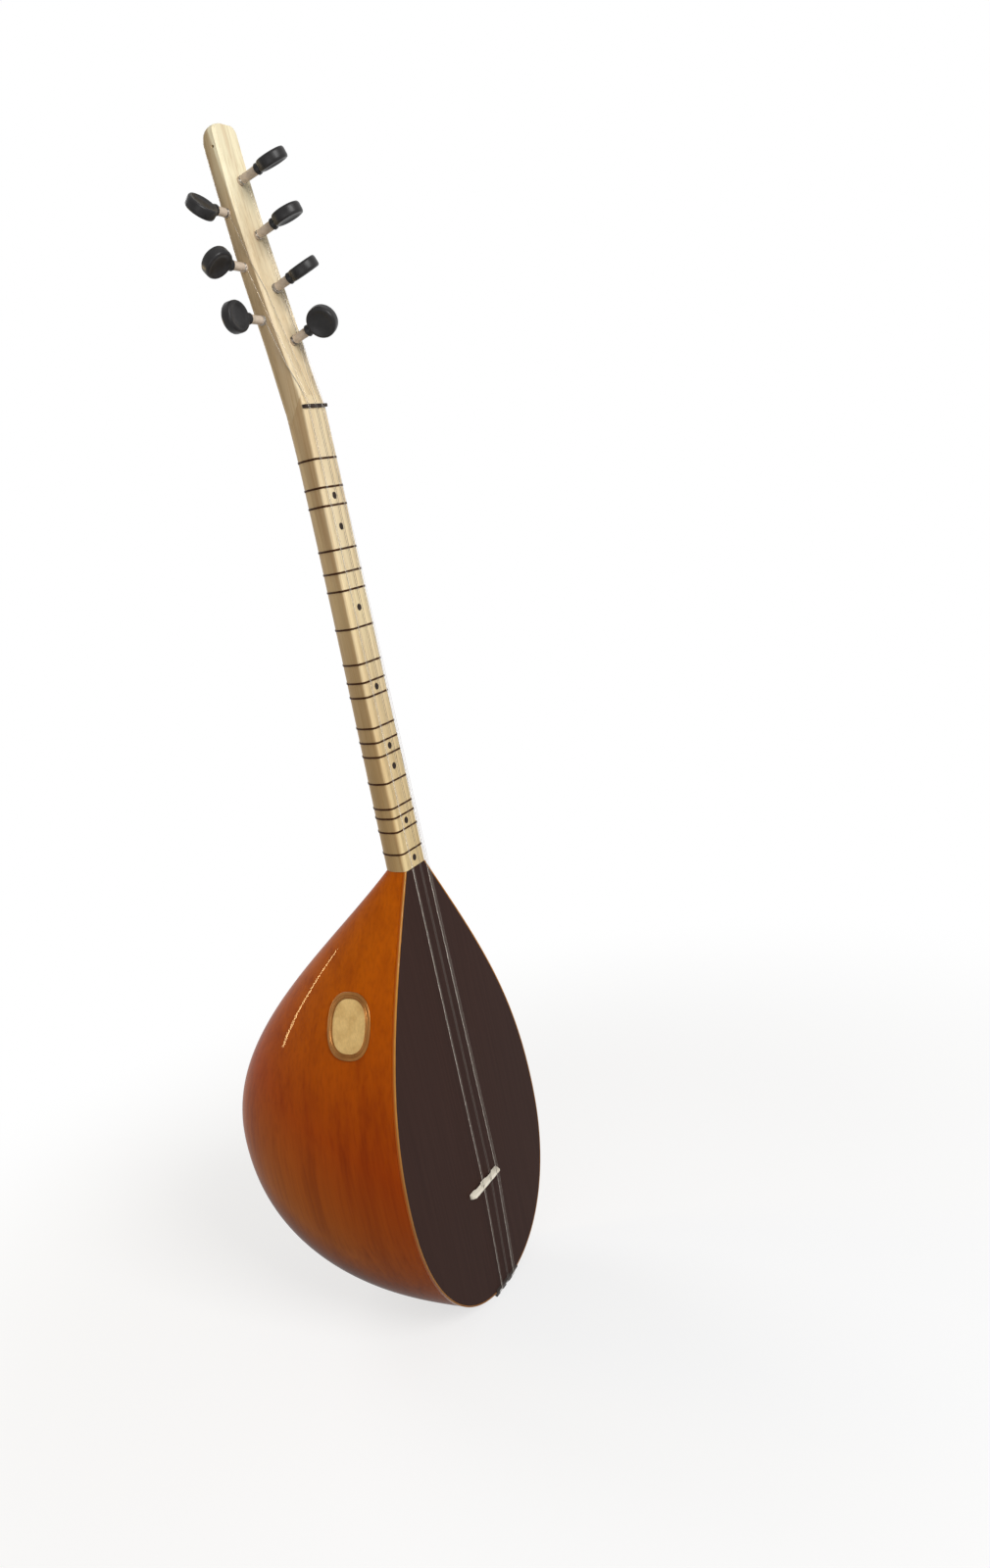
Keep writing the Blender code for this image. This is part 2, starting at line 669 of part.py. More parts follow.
def make_neck(material):
    steps = 9
    places = [GAP - NECK_LENGTH] + [-NECK_LENGTH * (1 - i / steps) for i in range(1, steps)]
    places += [-0.02, -0.01, 0.0, 0.006, SCARF_FRONT + 0.004]
    bm = loft([stick_section(s) for s in places])
    point, normal = scarf_plane()
    keep_side(bm, point - normal * GAP / 2, normal)
    neck = object_from("neck", bm, material, 35)
    low = (-TENON_WIDTH / 2, RIM_FRONT, NECK_END - TENON_LENGTH)
    high = (TENON_WIDTH / 2, RIM_FRONT + TENON_DEPTH, NECK_END + 0.004)
    cut(neck, [object_from("tenon_shape", box(low, high))], "UNION")
    slot_half = stick_half_width(0.0) + 0.002
    slot_low = (-slot_half, -0.002, NUT_LINE - GAP)
    slot_high = (slot_half, NUT_SEAT_DEPTH, NUT_LINE + NUT_THICKNESS + GAP)
    cutters = [object_from("nut_slot_cutter", box(slot_low, slot_high))]
    for i, height in enumerate(dot_heights()):
        start, end = Vector((0.0, -DOT_DEPTH, height)), Vector((0.0, DOT_DEPTH + GAP, height))
        radius = DOT_DIAMETER / 2 + GAP
        cutters.append(object_from(f"dot_cutter_{i + 1}", cylinder(start, end, radius, radius, 14)))
    cut(neck, cutters)
    return neck


def make_headstock(material):
    places = [-0.036, -0.02, -0.01, 0.0, 0.009, HEAD_WAIST_UP, 0.03, 0.042, 0.055, 0.07]
    places = [min(place, 0.3 * HEAD_LENGTH) for place in places[:-1]] + [0.33 * HEAD_LENGTH]
    places += [share * HEAD_LENGTH for share in (0.45, 0.57, 0.7, 0.82, 0.90)]
    radius = min(TIP_BACK_RADIUS, 0.8 * HEAD_THICKNESS_TIP)
    places += [HEAD_LENGTH - radius * (1 - share) for share in (0.0, 0.3, 0.55, 0.75, 0.9, 0.97, 1.0)]
    bm = loft([stick_section(s) for s in sorted(set(places))])
    point, normal = scarf_plane()
    keep_side(bm, point + normal * GAP / 2, -normal)
    head = object_from("headstock", bm, material, 25)
    cutters = []
    for peg in PEGS:
        top, length = 0.004, peg.seat + 0.004
        radius_top = PEG_DIAMETER / 2 + PEG_TAPER * top + RUNNING_GAP
        radius_tip = PEG_DIAMETER / 2 - PEG_TAPER * length + RUNNING_GAP
        start, end = peg.base + peg.axis * top, peg.base - peg.axis * length
        hole = cylinder(start, end, radius_top, radius_tip, 20)
        cutters.append(object_from(f"{peg.name}_hole_cutter", hole))
    place, back = stick_frame(HANGING_HOLE_UP)
    middle = place + back * HANGING_HOLE_BACK
    reach = Vector((HEAD_WIDTH, 0.0, 0.0))
    radius = HANGING_HOLE_DIAMETER / 2
    hole = cylinder(middle - reach, middle + reach, radius, radius, 12)
    cutters.append(object_from("hanging_hole_cutter", hole))
    cut(head, cutters)
    return head


class Peg:
    """Where one peg sits: the point where its axis leaves the wood, its axis and its length inside."""

    def __init__(self, name, up, exposed, turn_deg, side):
        self.name = name
        self.up = up
        self.exposed = exposed
        place, back = stick_frame(up)
        along = Vector((0.0, -back.z, back.y))
        if side:
            outward, lean = Vector((-1.0, 0.0, 0.0)), math.radians(SIDE_PEG_LEAN_DEG)
            self.base = place + back * SIDE_PEG_BACK + outward * stick_half_width(up)
            self.seat = 2 * stick_half_width(up) / math.cos(lean)
            facing = -back
        else:
            outward, lean = -back, math.radians(FRONT_PEG_LEAN_DEG)
            self.base = place.copy()
            self.seat = stick_depth(up) / math.cos(lean)
            facing = Vector((-1.0, 0.0, 0.0))
        self.front = -back
        self.axis = (outward * math.cos(lean) + along * math.sin(lean)).normalized()
        facing = (facing - facing.dot(self.axis) * self.axis).normalized()
        self.facing = Matrix.Rotation(math.radians(turn_deg), 3, self.axis) @ facing
        self.side = side

    def matrix(self):
        """Local Z is the peg's axis, and local Y is square to the flat of its thumb-piece."""
        across = self.facing.cross(self.axis)
        turn = Matrix((across, self.facing, self.axis)).transposed()
        return Matrix.Translation(self.base) @ turn.to_4x4()


def all_pegs():
    pegs = []
    for i, (exposed, turn) in enumerate(zip(FRONT_PEGS_EXPOSED, FRONT_PEG_TURNS_DEG)):
        up = FRONT_PEG_FIRST_UP + i * PEG_SPACING
        pegs.append(Peg(f"front_peg_{i + 1}", up, exposed, turn, side=False))
    for i, (exposed, turn) in enumerate(zip(SIDE_PEGS_EXPOSED, SIDE_PEG_TURNS_DEG)):
        up = SIDE_PEG_FIRST_UP + i * PEG_SPACING
        pegs.append(Peg(f"side_peg_{i + 1}", up, exposed, turn, side=True))
    return pegs


PEGS = all_pegs()


def make_peg(peg, ivory, black):
    """The tapered shaft with a pin on its end, and the dished thumb-piece that fits over the pin."""
    tip = PEG_TIP_SETBACK - peg.seat
    collar_start = peg.exposed
    collar_end = collar_start + COLLAR_LENGTH + COLLAR_INSIDE
    shoulder = collar_start - GAP
    radius, pin = PEG_DIAMETER / 2, PEG_PIN_DIAMETER / 2
    stations = [(tip, radius + PEG_TAPER * tip), (shoulder, radius + PEG_TAPER * shoulder),
                (shoulder, pin), (collar_start + PEG_PIN_LENGTH, pin)]
    shaft = object_from(f"{peg.name}_shaft", turned(stations, 12), ivory, 40)
    head = object_from(f"{peg.name}_head", thumb_piece(collar_start + COLLAR_LENGTH), black, 30)
    stations = [(collar_start, COLLAR_DIAMETER / 2), (collar_end, COLLAR_END_DIAMETER / 2)]
    collar_shape = object_from(f"{peg.name}_collar_shape", turned(stations, 12))
    stations = [(collar_start - 0.001, pin + GAP), (collar_start + PEG_PIN_LENGTH + GAP, pin + GAP)]
    socket_cutter = object_from(f"{peg.name}_socket_cutter", turned(stations, 12))
    for item in (shaft, head, collar_shape, socket_cutter):
        item.matrix_world = peg.matrix()
    cut(head, [collar_shape], "UNION")
    cut(head, [socket_cutter])


def turned(stations, sides):
    """A turned body along local Z, through stations of (height, radius)."""
    turns = [2 * math.pi * i / sides for i in range(sides)]
    return loft([[(r * math.cos(t), r * math.sin(t), z) for t in turns] for z, r in stations])


def thumb_piece(start):
    """A round disc, dished on both faces, that begins at one height along local Z."""
    rim = THUMB_PIECE_LENGTH / 2
    half = THUMB_PIECE_THICKNESS / 2
    middle = start + rim
    profile = [(0.66 * rim, half - 0.8 * THUMB_PIECE_DISH), (0.90 * rim, half), (rim, 0.6 * half)]
    profile += [(reach, -height) for reach, height in reversed(profile)]
    turns = [2 * math.pi * (i + 0.5) / 16 for i in range(16)]
    bm = bmesh.new()
    rings = []
    for reach, height in profile:
        rings.append(add_ring(bm, [(reach * math.cos(t), height, middle + reach * math.sin(t))
                                   for t in turns]))
    for lower, upper in zip(rings, rings[1:]):
        join_rings(bm, lower, upper)
    fan(bm, rings[0], bm.verts.new((0.0, half - THUMB_PIECE_DISH, middle)))
    fan(bm, list(reversed(rings[-1])), bm.verts.new((0.0, THUMB_PIECE_DISH - half, middle)))
    return bm


class StringPlan:
    """One string: its diameter, its peg and its place across the nut, bridge and tail."""

    def __init__(self, name, diameter, peg_name, course, place):
        self.name = name
        self.radius = diameter / 2
        self.peg = next(peg for peg in PEGS if peg.name == peg_name)
        shift = place * STRING_GAP_IN_COURSE
        self.at_nut = course * COURSE_GAP_AT_NUT + shift
        self.at_bridge = course * COURSE_GAP_AT_BRIDGE + shift
        self.at_tail = course * COURSE_GAP_AT_TAIL + shift


STRINGS = (
    StringPlan("string_1", WOUND_STRING_DIAMETER, "side_peg_1", -1, -0.5),
    StringPlan("string_2", PLAIN_STRING_DIAMETER, "side_peg_2", -1, 0.5),
    StringPlan("string_3", MIDDLE_STRING_DIAMETER, "side_peg_3", 0, -0.5),
    StringPlan("string_4", MIDDLE_STRING_DIAMETER, "front_peg_1", 0, 0.5),
    StringPlan("string_5", WOUND_STRING_DIAMETER, "front_peg_2", 1, -1.0),
    StringPlan("string_6", PLAIN_STRING_DIAMETER, "front_peg_3", 1, 0.0),
    StringPlan("string_7", PLAIN_STRING_DIAMETER, "front_peg_4", 1, 1.0),
)


def head_point(x, up, height):
    """A point over the headstock: across, along its front and above its front."""
    place, back = stick_frame(up)
    return place + Vector((x, 0.0, 0.0)) - back * height


def string_route(plan):
    """The points of one taut string, from its peg over the nut and bridge to the comb."""
    peg, clear = plan.peg, GAP + plan.radius
    shaft = PEG_DIAMETER / 2 + PEG_TAPER * WRAP_HEIGHT
    wrap = peg.base + peg.axis * WRAP_HEIGHT
    if peg.side:
        start = wrap + peg.front * (shaft + clear)
        half, corner = stick_half_width(peg.up / 2), HEAD_CHAMFER
        first = (half - corner) + plan.at_nut
        second = corner * math.sqrt(2)
        third = math.hypot(WRAP_HEIGHT, SIDE_PEG_BACK - shaft - corner)
        run = (peg.up - NUT_THICKNESS) / (first + second + third)
        up_1 = NUT_THICKNESS + run * first
        up_2 = up_1 + run * second
        edge_1 = head_point(-(stick_half_width(up_1) - corner), up_1, 2 * clear)
        edge_2 = head_point(-(stick_half_width(up_2) + 2 * clear), up_2, -corner)
        points = [start, edge_2, edge_1]
    else:
        points = [wrap + Vector((shaft + clear, 0.0, 0.0))]
    nut, bridge, tail = plan.at_nut, plan.at_bridge, plan.at_tail
    height = STRING_HEIGHT_AT_NUT
    points.append(Vector((nut, -height, NUT_LINE + NUT_THICKNESS)))
    points.append(Vector((nut, -height, NUT_LINE)))
    crest = BRIDGE_TOP_THICKNESS / 2
    height = STRING_HEIGHT_AT_BRIDGE
    points.append(Vector((bridge, -height, BRIDGE_LINE + crest)))
    points.append(Vector((bridge, -height, BRIDGE_LINE - crest)))
    over = -SADDLE_TOP - clear
    points.append(Vector((tail, over, 0.65 * SADDLE_DEPTH + tail_edge(tail) / 2)))
    points.append(Vector((tail, over, tail_edge(tail) + SADDLE_DEPTH / 4)))
    points.append(Vector((tail, EDGE_STEP, -2 * clear)))
    front = RIM_FRONT + 2 * GAP - clear
    points.append(Vector((tail, front, -GAP - 0.6 * COMB_THICKNESS)))
    return points


def make_string(plan, material):
    curve = bpy.data.curves.new(plan.name, "CURVE")
    curve.dimensions = "3D"
    curve.bevel_depth = plan.radius
    curve.bevel_resolution = 1
    curve.use_fill_caps = True
    route = string_route(plan)
    spline = curve.splines.new("POLY")
    spline.points.add(len(route) - 1)
    for point, place in zip(spline.points, route):
        point.co = (*place, 1.0)
    curve.materials.append(material)
    item = bpy.data.objects.new(plan.name, curve)
    bpy.context.collection.objects.link(item)


def notched_top(half, top, places, floor_of):
    """The top edge of a nut or bridge, from right to left, with a notch for each string."""
    points = [(half, top)]
    for place, radius in sorted(places, reverse=True):
        width = radius + GAP
        floor = floor_of(radius)
        points += [(place + 1.6 * width, top), (place + width, floor), (place - width, floor),
                   (place - 1.6 * width, top)]
    points.append((-half, top))
    return points


def make_nut(material):
    half = stick_half_width(0.0) + GAP
    places = [(plan.at_nut, plan.radius) for plan in STRINGS]
    top = notched_top(half, -NUT_TOP, places, lambda r: -(STRING_HEIGHT_AT_NUT - r - GAP))
    seat = NUT_SEAT_DEPTH - GAP
    profile = [(-half, seat), (half, seat)] + top
    solid = prism(profile, NUT_LINE, NUT_LINE + NUT_THICKNESS, lambda a, b, c: (a, b, c))
    return object_from("nut", solid, material)


def make_bridge(material):
    half = BRIDGE_LENGTH / 2
    foot = soundboard_front(0.0, BRIDGE_LINE) - GAP
    places = [(plan.at_bridge + BRIDGE_SET_LEFT, plan.radius) for plan in STRINGS]
    crest = -STRING_HEIGHT_AT_BRIDGE - GAP
    top = notched_top(BRIDGE_CREST_LENGTH / 2, crest, places,
                      lambda r: -(STRING_HEIGHT_AT_BRIDGE - r - GAP))
    arch = foot - BRIDGE_ARCH_HEIGHT
    end = foot - 0.5 * (foot - crest)
    profile = [(-half, foot), (-0.70 * half, foot), (-0.58 * half, arch), (-0.24 * half, arch),
               (-0.14 * half, foot), (0.14 * half, foot), (0.24 * half, arch),
               (0.58 * half, arch), (0.70 * half, foot), (half, foot), (half, end)]
    profile += top + [(-half, end)]

    def place(a, b, c):
        share = (b - foot) / (crest - foot)
        thickness = BRIDGE_FOOT_THICKNESS + share * (BRIDGE_TOP_THICKNESS - BRIDGE_FOOT_THICKNESS)
        return (a - BRIDGE_SET_LEFT, b, BRIDGE_LINE + c * thickness / 2)

    return object_from("bridge", prism(profile, -1.0, 1.0, place), material)


def fret_heights():
    return [NUT_LINE - SCALE_LENGTH * (1 - 2 ** (-cents / 1200)) for cents in FRET_CENTS]


def dot_heights():
    """Each dot lies midway between two frets, or between the last fret and the neck's end."""
    stops = [height for height in fret_heights() if height > NECK_END] + [NECK_END]
    heights = []
    for fret in DOT_AFTER_FRET:
        if fret < len(stops):
            heights.append((stops[fret - 1] + stops[fret]) / 2)
    return heights


def make_fret(name, height, material):
    """A band of gut or nylon line tied round the neck."""
    s = height - NUT_LINE
    half = FRET_WIDTH / 2
    outline = ((GAP, -half), (GAP, half), (GAP + 0.7 * FRET_HEIGHT, half),
               (GAP + FRET_HEIGHT, 0.0), (GAP + 0.7 * FRET_HEIGHT, -half))
    bm = bmesh.new()
    rings = []
    for offset, shift in outline:
        ring = stick_section(s, offset)
        rings.append(add_ring(bm, [point + Vector((0.0, 0.0, shift)) for point in ring]))
    for i, ring in enumerate(rings):
        join_rings(bm, ring, rings[(i + 1) % len(rings)])
    return object_from(name, bm, material, 30)


def make_dot(name, height, material):
    start, end = Vector((0.0, 0.0, height)), Vector((0.0, DOT_DEPTH, height))
    radius = DOT_DIAMETER / 2
    return object_from(name, cylinder(start, end, radius, radius, 14), material)


def badge_ring(bm, half_width, half_height, lift, count=32):
    """A rounded oval of points that follows the bowl's flank at a height above it."""
    points = []
    for i in range(count):
        turn = 2 * math.pi * i / count
        down = BADGE_DOWN + half_height * squared(math.cos(turn), BADGE_ROUNDNESS)
        back = BADGE_BACK + half_width * squared(math.sin(turn), BADGE_ROUNDNESS)
        points.append(bowl_point(down, back) + bowl_normal(down, back) * lift)
    return add_ring(bm, points)


def make_badge(rim_material, plaque_material):
    width, height, top = BADGE_WIDTH / 2, BADGE_HEIGHT / 2, GAP + BADGE_THICKNESS
    groove = top - BADGE_GROOVE_DEPTH
    bm = bmesh.new()
    rings = []
    for share, lift in ((0.0, GAP), (0.0, groove), (0.2, top), (0.5, top), (0.65, groove),
                        (0.8, top), (1.0, groove), (1.0, GAP)):
        inset = share * BADGE_RIM_WIDTH
        rings.append(badge_ring(bm, width - inset, height - inset, lift))
    for i, ring in enumerate(rings):
        join_rings(bm, ring, rings[(i + 1) % len(rings)])
    object_from("badge_rim", bm, rim_material, 40)
    bm = bmesh.new()
    inset = BADGE_RIM_WIDTH + GAP
    edge = (width - inset, height - inset)
    half = (edge[0] / 2, edge[1] / 2)
    rings = [badge_ring(bm, *half, GAP), badge_ring(bm, *edge, GAP),
             badge_ring(bm, *edge, GAP + 0.5 * BADGE_THICKNESS),
             badge_ring(bm, *half, GAP + 0.8 * BADGE_THICKNESS)]
    for lower, upper in zip(rings, rings[1:]):
        join_rings(bm, lower, upper)
    centre = bowl_point(BADGE_DOWN, BADGE_BACK)
    normal = bowl_normal(BADGE_DOWN, BADGE_BACK)
    fan(bm, list(reversed(rings[0])), bm.verts.new(centre + normal * GAP))
    fan(bm, rings[-1], bm.verts.new(centre + normal * (GAP + 0.9 * BADGE_THICKNESS)))
    object_from("badge_plaque", bm, plaque_material, 40)


def main():
    clear_objects()
    amber = make_material("amber_lacquer", (0.46, 0.11, 0.004), 0.12)
    maroon = make_material("maroon_soundboard", (0.062, 0.035, 0.032), 0.45)
    pale_wood = make_material("pale_wood", (0.76, 0.60, 0.34), 0.40)
    cream = make_material("cream_binding", (0.72, 0.50, 0.24), 0.40)
    spruce = make_material("brace_wood", (0.62, 0.45, 0.26), 0.60)
    black = make_material("black_plastic", (0.020, 0.020, 0.022), 0.35)
    ebony = make_material("dark_wood", (0.045, 0.028, 0.020), 0.40)
    ivory = make_material("ivory_peg", (0.72, 0.62, 0.50), 0.40)
    bone = make_material("bridge_wood", (0.78, 0.70, 0.52), 0.50)
    line = make_material("fret_line", (0.075, 0.040, 0.022), 0.50)
    steel = make_material("string_steel", (0.62, 0.62, 0.62), 0.25, 1.0)
    gold = make_material("gold_plaque", (0.72, 0.50, 0.18), 0.30, 0.8)
    bronze = make_material("bronze_rim", (0.36, 0.17, 0.05), 0.35, 0.6)

    make_bowl(amber)
    make_soundboard(maroon)
    make_bindings(cream)
    make_saddle(ebony)
    make_comb(ebony)
    make_brace(spruce)
    make_neck(pale_wood)
    make_headstock(pale_wood)
    make_nut(black)
    make_bridge(bone)
    make_badge(bronze, gold)
    for peg in PEGS:
        make_peg(peg, ivory, black)
    for plan in STRINGS:
        make_string(plan, steel)
    for i, height in enumerate(fret_heights()):
        make_fret(f"fret_{i + 1:02d}", height, line)
    for i, height in enumerate(dot_heights()):
        make_dot(f"dot_{i + 1}", height, black)


main()
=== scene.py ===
"""Builds the finished look of a short-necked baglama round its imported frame."""

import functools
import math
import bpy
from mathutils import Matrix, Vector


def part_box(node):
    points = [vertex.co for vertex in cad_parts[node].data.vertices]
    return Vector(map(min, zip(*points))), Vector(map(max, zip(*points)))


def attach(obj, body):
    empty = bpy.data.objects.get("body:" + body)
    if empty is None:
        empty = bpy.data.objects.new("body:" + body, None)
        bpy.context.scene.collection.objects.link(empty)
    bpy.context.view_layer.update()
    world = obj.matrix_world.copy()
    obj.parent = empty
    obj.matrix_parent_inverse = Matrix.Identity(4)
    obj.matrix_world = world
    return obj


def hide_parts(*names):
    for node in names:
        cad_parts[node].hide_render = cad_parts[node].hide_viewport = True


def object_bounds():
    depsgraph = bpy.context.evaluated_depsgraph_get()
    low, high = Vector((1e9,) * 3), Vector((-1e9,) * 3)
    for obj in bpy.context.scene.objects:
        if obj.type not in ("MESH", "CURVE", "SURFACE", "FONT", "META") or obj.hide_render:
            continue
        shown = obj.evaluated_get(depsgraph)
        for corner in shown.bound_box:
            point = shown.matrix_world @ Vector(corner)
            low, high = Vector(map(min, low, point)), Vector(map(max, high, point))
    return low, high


bl_info = {
    "name": "Baglama",
    "version": (1, 0, 0),
    "blender": (4, 5, 0),
    "location": "View3D > Sidebar > Baglama",
    "description": "Models a short-necked baglama: lacquered bowl, tied frets, strings and friction pegs",
    "category": "Add Mesh",
}

import bmesh
import bpy
from bpy.props import FloatProperty, FloatVectorProperty
from mathutils import Matrix, Vector

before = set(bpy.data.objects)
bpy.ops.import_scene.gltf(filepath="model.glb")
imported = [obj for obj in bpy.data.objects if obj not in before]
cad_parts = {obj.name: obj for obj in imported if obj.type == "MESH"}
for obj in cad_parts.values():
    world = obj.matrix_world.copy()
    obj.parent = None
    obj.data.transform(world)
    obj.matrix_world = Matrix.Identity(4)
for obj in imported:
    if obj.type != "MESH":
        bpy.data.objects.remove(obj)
CAD_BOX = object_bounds()

INSTRUMENT = "instrument"
# How far above the open string each fret sounds, in cents
FRET_CENTS = (100, 160, 200, 300, 355, 400, 500, 600, 655, 700, 800, 850, 900, 1000, 1100, 1140,
              1200, 1300)
# Where each peg stands above the nut, how much of its shaft shows, and its turn in degrees
PEGS = {"front_peg_1": (0.0527, 0.0163, 27.0), "front_peg_2": (0.0939, 0.0155, 110.0),
        "front_peg_3": (0.1351, 0.0170, 102.0), "front_peg_4": (0.1763, 0.0180, 108.0),
        "side_peg_1": (0.0725, 0.0165, -8.0), "side_peg_2": (0.1137, 0.0160, -60.0),
        "side_peg_3": (0.1549, 0.0130, 34.0)}
# Each string's diameter, peg, course and place in its course
STRING_PLANS = ((0.00050, "side_peg_1", -1, -0.5), (0.00020, "side_peg_2", -1, 0.5),
                (0.00030, "side_peg_3", 0, -0.5), (0.00030, "front_peg_1", 0, 0.5),
                (0.00050, "front_peg_2", 1, -1.0), (0.00020, "front_peg_3", 1, 0.0),
                (0.00020, "front_peg_4", 1, 1.0))

# Measures that stay fixed: lengths in metres, angles in radians, roundness and bulge as factors
WIDEST_DOWN, DEEPEST_DOWN = 0.270, 0.245
NECK_END_HALF_WIDTH, NECK_END_DEPTH = 0.0157, 0.0265
TAIL_ROUNDNESS, SECTION_ROUNDNESS, SIDE_BULGE = 2.2, 2.35, 0.06
GLUE_GAP, EDGE_STEP = 0.0003, 0.0010
SOUND_HOLE_BACK, SOUND_HOLE_RADIUS = 0.055, 0.009
HEAD_ANGLE, HEAD_CORNER = math.radians(8.0), 0.0023
SWEEP_FROM, TIP_SWEEP, TIP_SIDE_ROUND, TIP_BACK_ROUND = 0.118, 0.0045, 0.006, 0.0136
HANGING_HOLE_UP, HANGING_HOLE_BACK, HANGING_HOLE_RADIUS = 0.202, 0.0055, 0.0013
FRONT_PEG_LEAN, SIDE_PEG_LEAN, SIDE_PEG_BACK = math.radians(6.0), math.radians(3.0), 0.0100
PEG_TAPER, WRAP_UP, PEG_HOLE_EASE, PAST_THE_WOOD = 0.020, 0.003, 0.0002, 0.004
NUT_THICKNESS, UP_AT_NUT, UP_AT_BRIDGE, HALF_CREST = 0.0026, 0.0016, 0.0062, 0.0012
SADDLE_WIDTH, SADDLE_DEPTH, SADDLE_TOP, COMB_THICKNESS = 0.040, 0.0045, 0.0006, 0.003
COURSES_AT_NUT, COURSES_AT_BRIDGE, COURSES_AT_TAIL, STRING_STEP = 0.0095, 0.0130, 0.012, 0.0018
WOUND_FROM = 0.0004
BADGE_DOWN, BADGE_BACK, BADGE_ROUNDNESS = 0.115, 0.0485, 2.5
BADGE_OUTER, BADGE_INNER = (0.0230, 0.0260), (0.0180, 0.0210)
WELD = 2e-6

# A peg's collar as (radius, height above the shaft's end), half the thickness of its thumb-piece,
# and the thumb-piece's dished face as (share of its radius, height above that half)
COLLAR = ((0.0, -0.0001), (0.0040, -0.0001), (0.0045, 0.0005), (0.0044, 0.0020), (0.0038, 0.0034),
          (0.0034, 0.0060), (0.0026, 0.0095), (0.0, 0.0098))
THUMB_HALF = 0.0044
DISH = ((0.0, -0.0017), (0.25, -0.0017), (0.50, -0.0015), (0.68, -0.0009), (0.80, -0.0001), (0.87, 0.0),
        (0.94, -0.0003), (0.985, -0.0012), (1.0, -0.0024))

# The badge's rim from its outer to its inner edge, as (share of the way, height)
RIM_SECTION = ((0.0, 0.00005), (0.0, 0.0009), (0.06, 0.0013), (0.22, 0.0015), (0.42, 0.0014),
               (0.50, 0.0010), (0.56, 0.0010), (0.62, 0.0014), (0.74, 0.0015), (0.80, 0.0011),
               (0.85, 0.0011), (0.90, 0.0014), (1.0, 0.0012), (1.0, 0.00005))

# The camera, the floor that fades to white round the object, and the light of the sky
CAMERA_PLACE, CAMERA_FORWARD = (-0.8349, -0.5883, 0.6959), (0.840, 0.498, -0.218)
CAMERA_RIGHT, CAMERA_LENS, CAMERA_SENSOR = (0.463, -0.865, -0.194), 28.18, 36.0
FLOOR_RADIUS, FLOOR_DROP, FADE_FROM, FADE_TO, FLOOR_LIFT = 14.0, 0.0002, 0.35, 0.95, 0.68
SKY_LEVEL = 0.20

# A white shade, an even scale, three directions, and the refraction of a coat that shines weakly
WHITE, EVEN = (1.0, 1.0, 1.0), (1.0, 1.0, 1.0)
ACROSS, BACKWARDS, UP = (1.0, 0.0, 0.0), (0.0, 1.0, 0.0), (0.0, 0.0, 1.0)
THIN_COAT = 1.20


def length(name, description, default):
    return FloatProperty(name=name, description=description, default=default, min=0.0, precision=5,
                         unit="LENGTH")


def colour(name, description, default):
    return FloatVectorProperty(name=name, description=description, default=default, size=3, min=0.0,
                               max=1.0, subtype="COLOR")


class BaglamaSizes(bpy.types.PropertyGroup):
    """The sizes that a maker would set first."""

    body: length("Body length", "From the neck's end to the tail", 0.412)
    neck: length("Neck length", "From the nut to the bowl", 0.385)
    scale: length("Scale length", "From the nut to the bridge", 0.700)
    head: length("Headstock length", "From the nut to the tip", 0.218)
    half_width: length("Half width", "Half of the soundboard's greatest width", 0.115)
    depth: length("Bowl depth", "From the neck's front to the deepest point", 0.240)
    wall: length("Bowl wall", "Thickness of the carved wall", 0.0045)
    board: length("Soundboard thickness", "Thickness of the soundboard", 0.0027)
    crown: length("Soundboard crown", "Rise of the soundboard's arch at the bridge", 0.0012)
    bridge_up: length("Bridge set up", "How far nearer the neck the bridge stands than the scale asks", 0.011)
    binding: length("Binding width", "Width of the pale strip round the soundboard", 0.0014)
    thumb_piece: length("Thumb-piece", "Diameter of a peg's thumb-piece", 0.0242)
    peg: length("Peg diameter", "Diameter of a peg where it leaves the wood", 0.0066)
    fret_line: length("Fret line", "Diameter of the line that the frets are tied with", 0.00056)


class BaglamaColours(bpy.types.PropertyGroup):
    """The colours of the finishes."""

    amber: colour("Amber lacquer", "The bowl's lacquer where it is lightest", (0.51, 0.098, 0.0))
    # The red-brown is painted shade, low on the bowl's back
    painted_shade_red_brown: colour("Red-brown lacquer", "The bowl's lacquer low down", (0.13, 0.018, 0.002))
    maroon: colour("Maroon", "The soundboard", (0.043, 0.0215, 0.0170))
    pale_wood: colour("Pale wood", "The neck and headstock", (0.93, 0.79, 0.545))
    grain: colour("Grain", "The darker lines of the pale wood", (0.70, 0.52, 0.32))
    binding: colour("Binding", "The strip round the soundboard", (0.60, 0.245, 0.035))
    black: colour("Black", "Thumb-pieces", (0.013, 0.012, 0.012))
    ivory: colour("Ivory", "The pegs' shafts", (0.66, 0.54, 0.42))
    bridge: colour("Bridge wood", "The bridge", (1.0, 0.92, 0.76))
    ebony: colour("Dark wood", "The nut, dots, tail saddle and string holder", (0.030, 0.020, 0.016))
    line: colour("Fret line", "The tied frets", (0.070, 0.028, 0.011))
    steel: colour("Steel", "The outer strings", (0.46, 0.42, 0.37))
    dull_steel: colour("Dull steel", "The middle strings", (0.20, 0.18, 0.16))
    gold: colour("Gold", "The badge's bare plaque", (0.71, 0.48, 0.19))
    bronze: colour("Bronze", "The badge's rim", (0.33, 0.14, 0.033))


def sizes():
    return bpy.context.scene.baglama_sizes


def colours():
    return bpy.context.scene.baglama_colours


# Materials


def node_in(tree, kind, inputs=None, **settings):
    """A node with these settings, and with values or other nodes' outputs in its inputs."""
    made = tree.nodes.new(kind)
    for name, value in settings.items():
        setattr(made, name, value)
    for name, value in (inputs or {}).items():
        socket = made.inputs[name]
        if isinstance(value, bpy.types.NodeSocket):
            tree.links.new(value, socket)
        else:
            socket.default_value = (*value, 1.0) if socket.type == "RGBA" else value
    return made


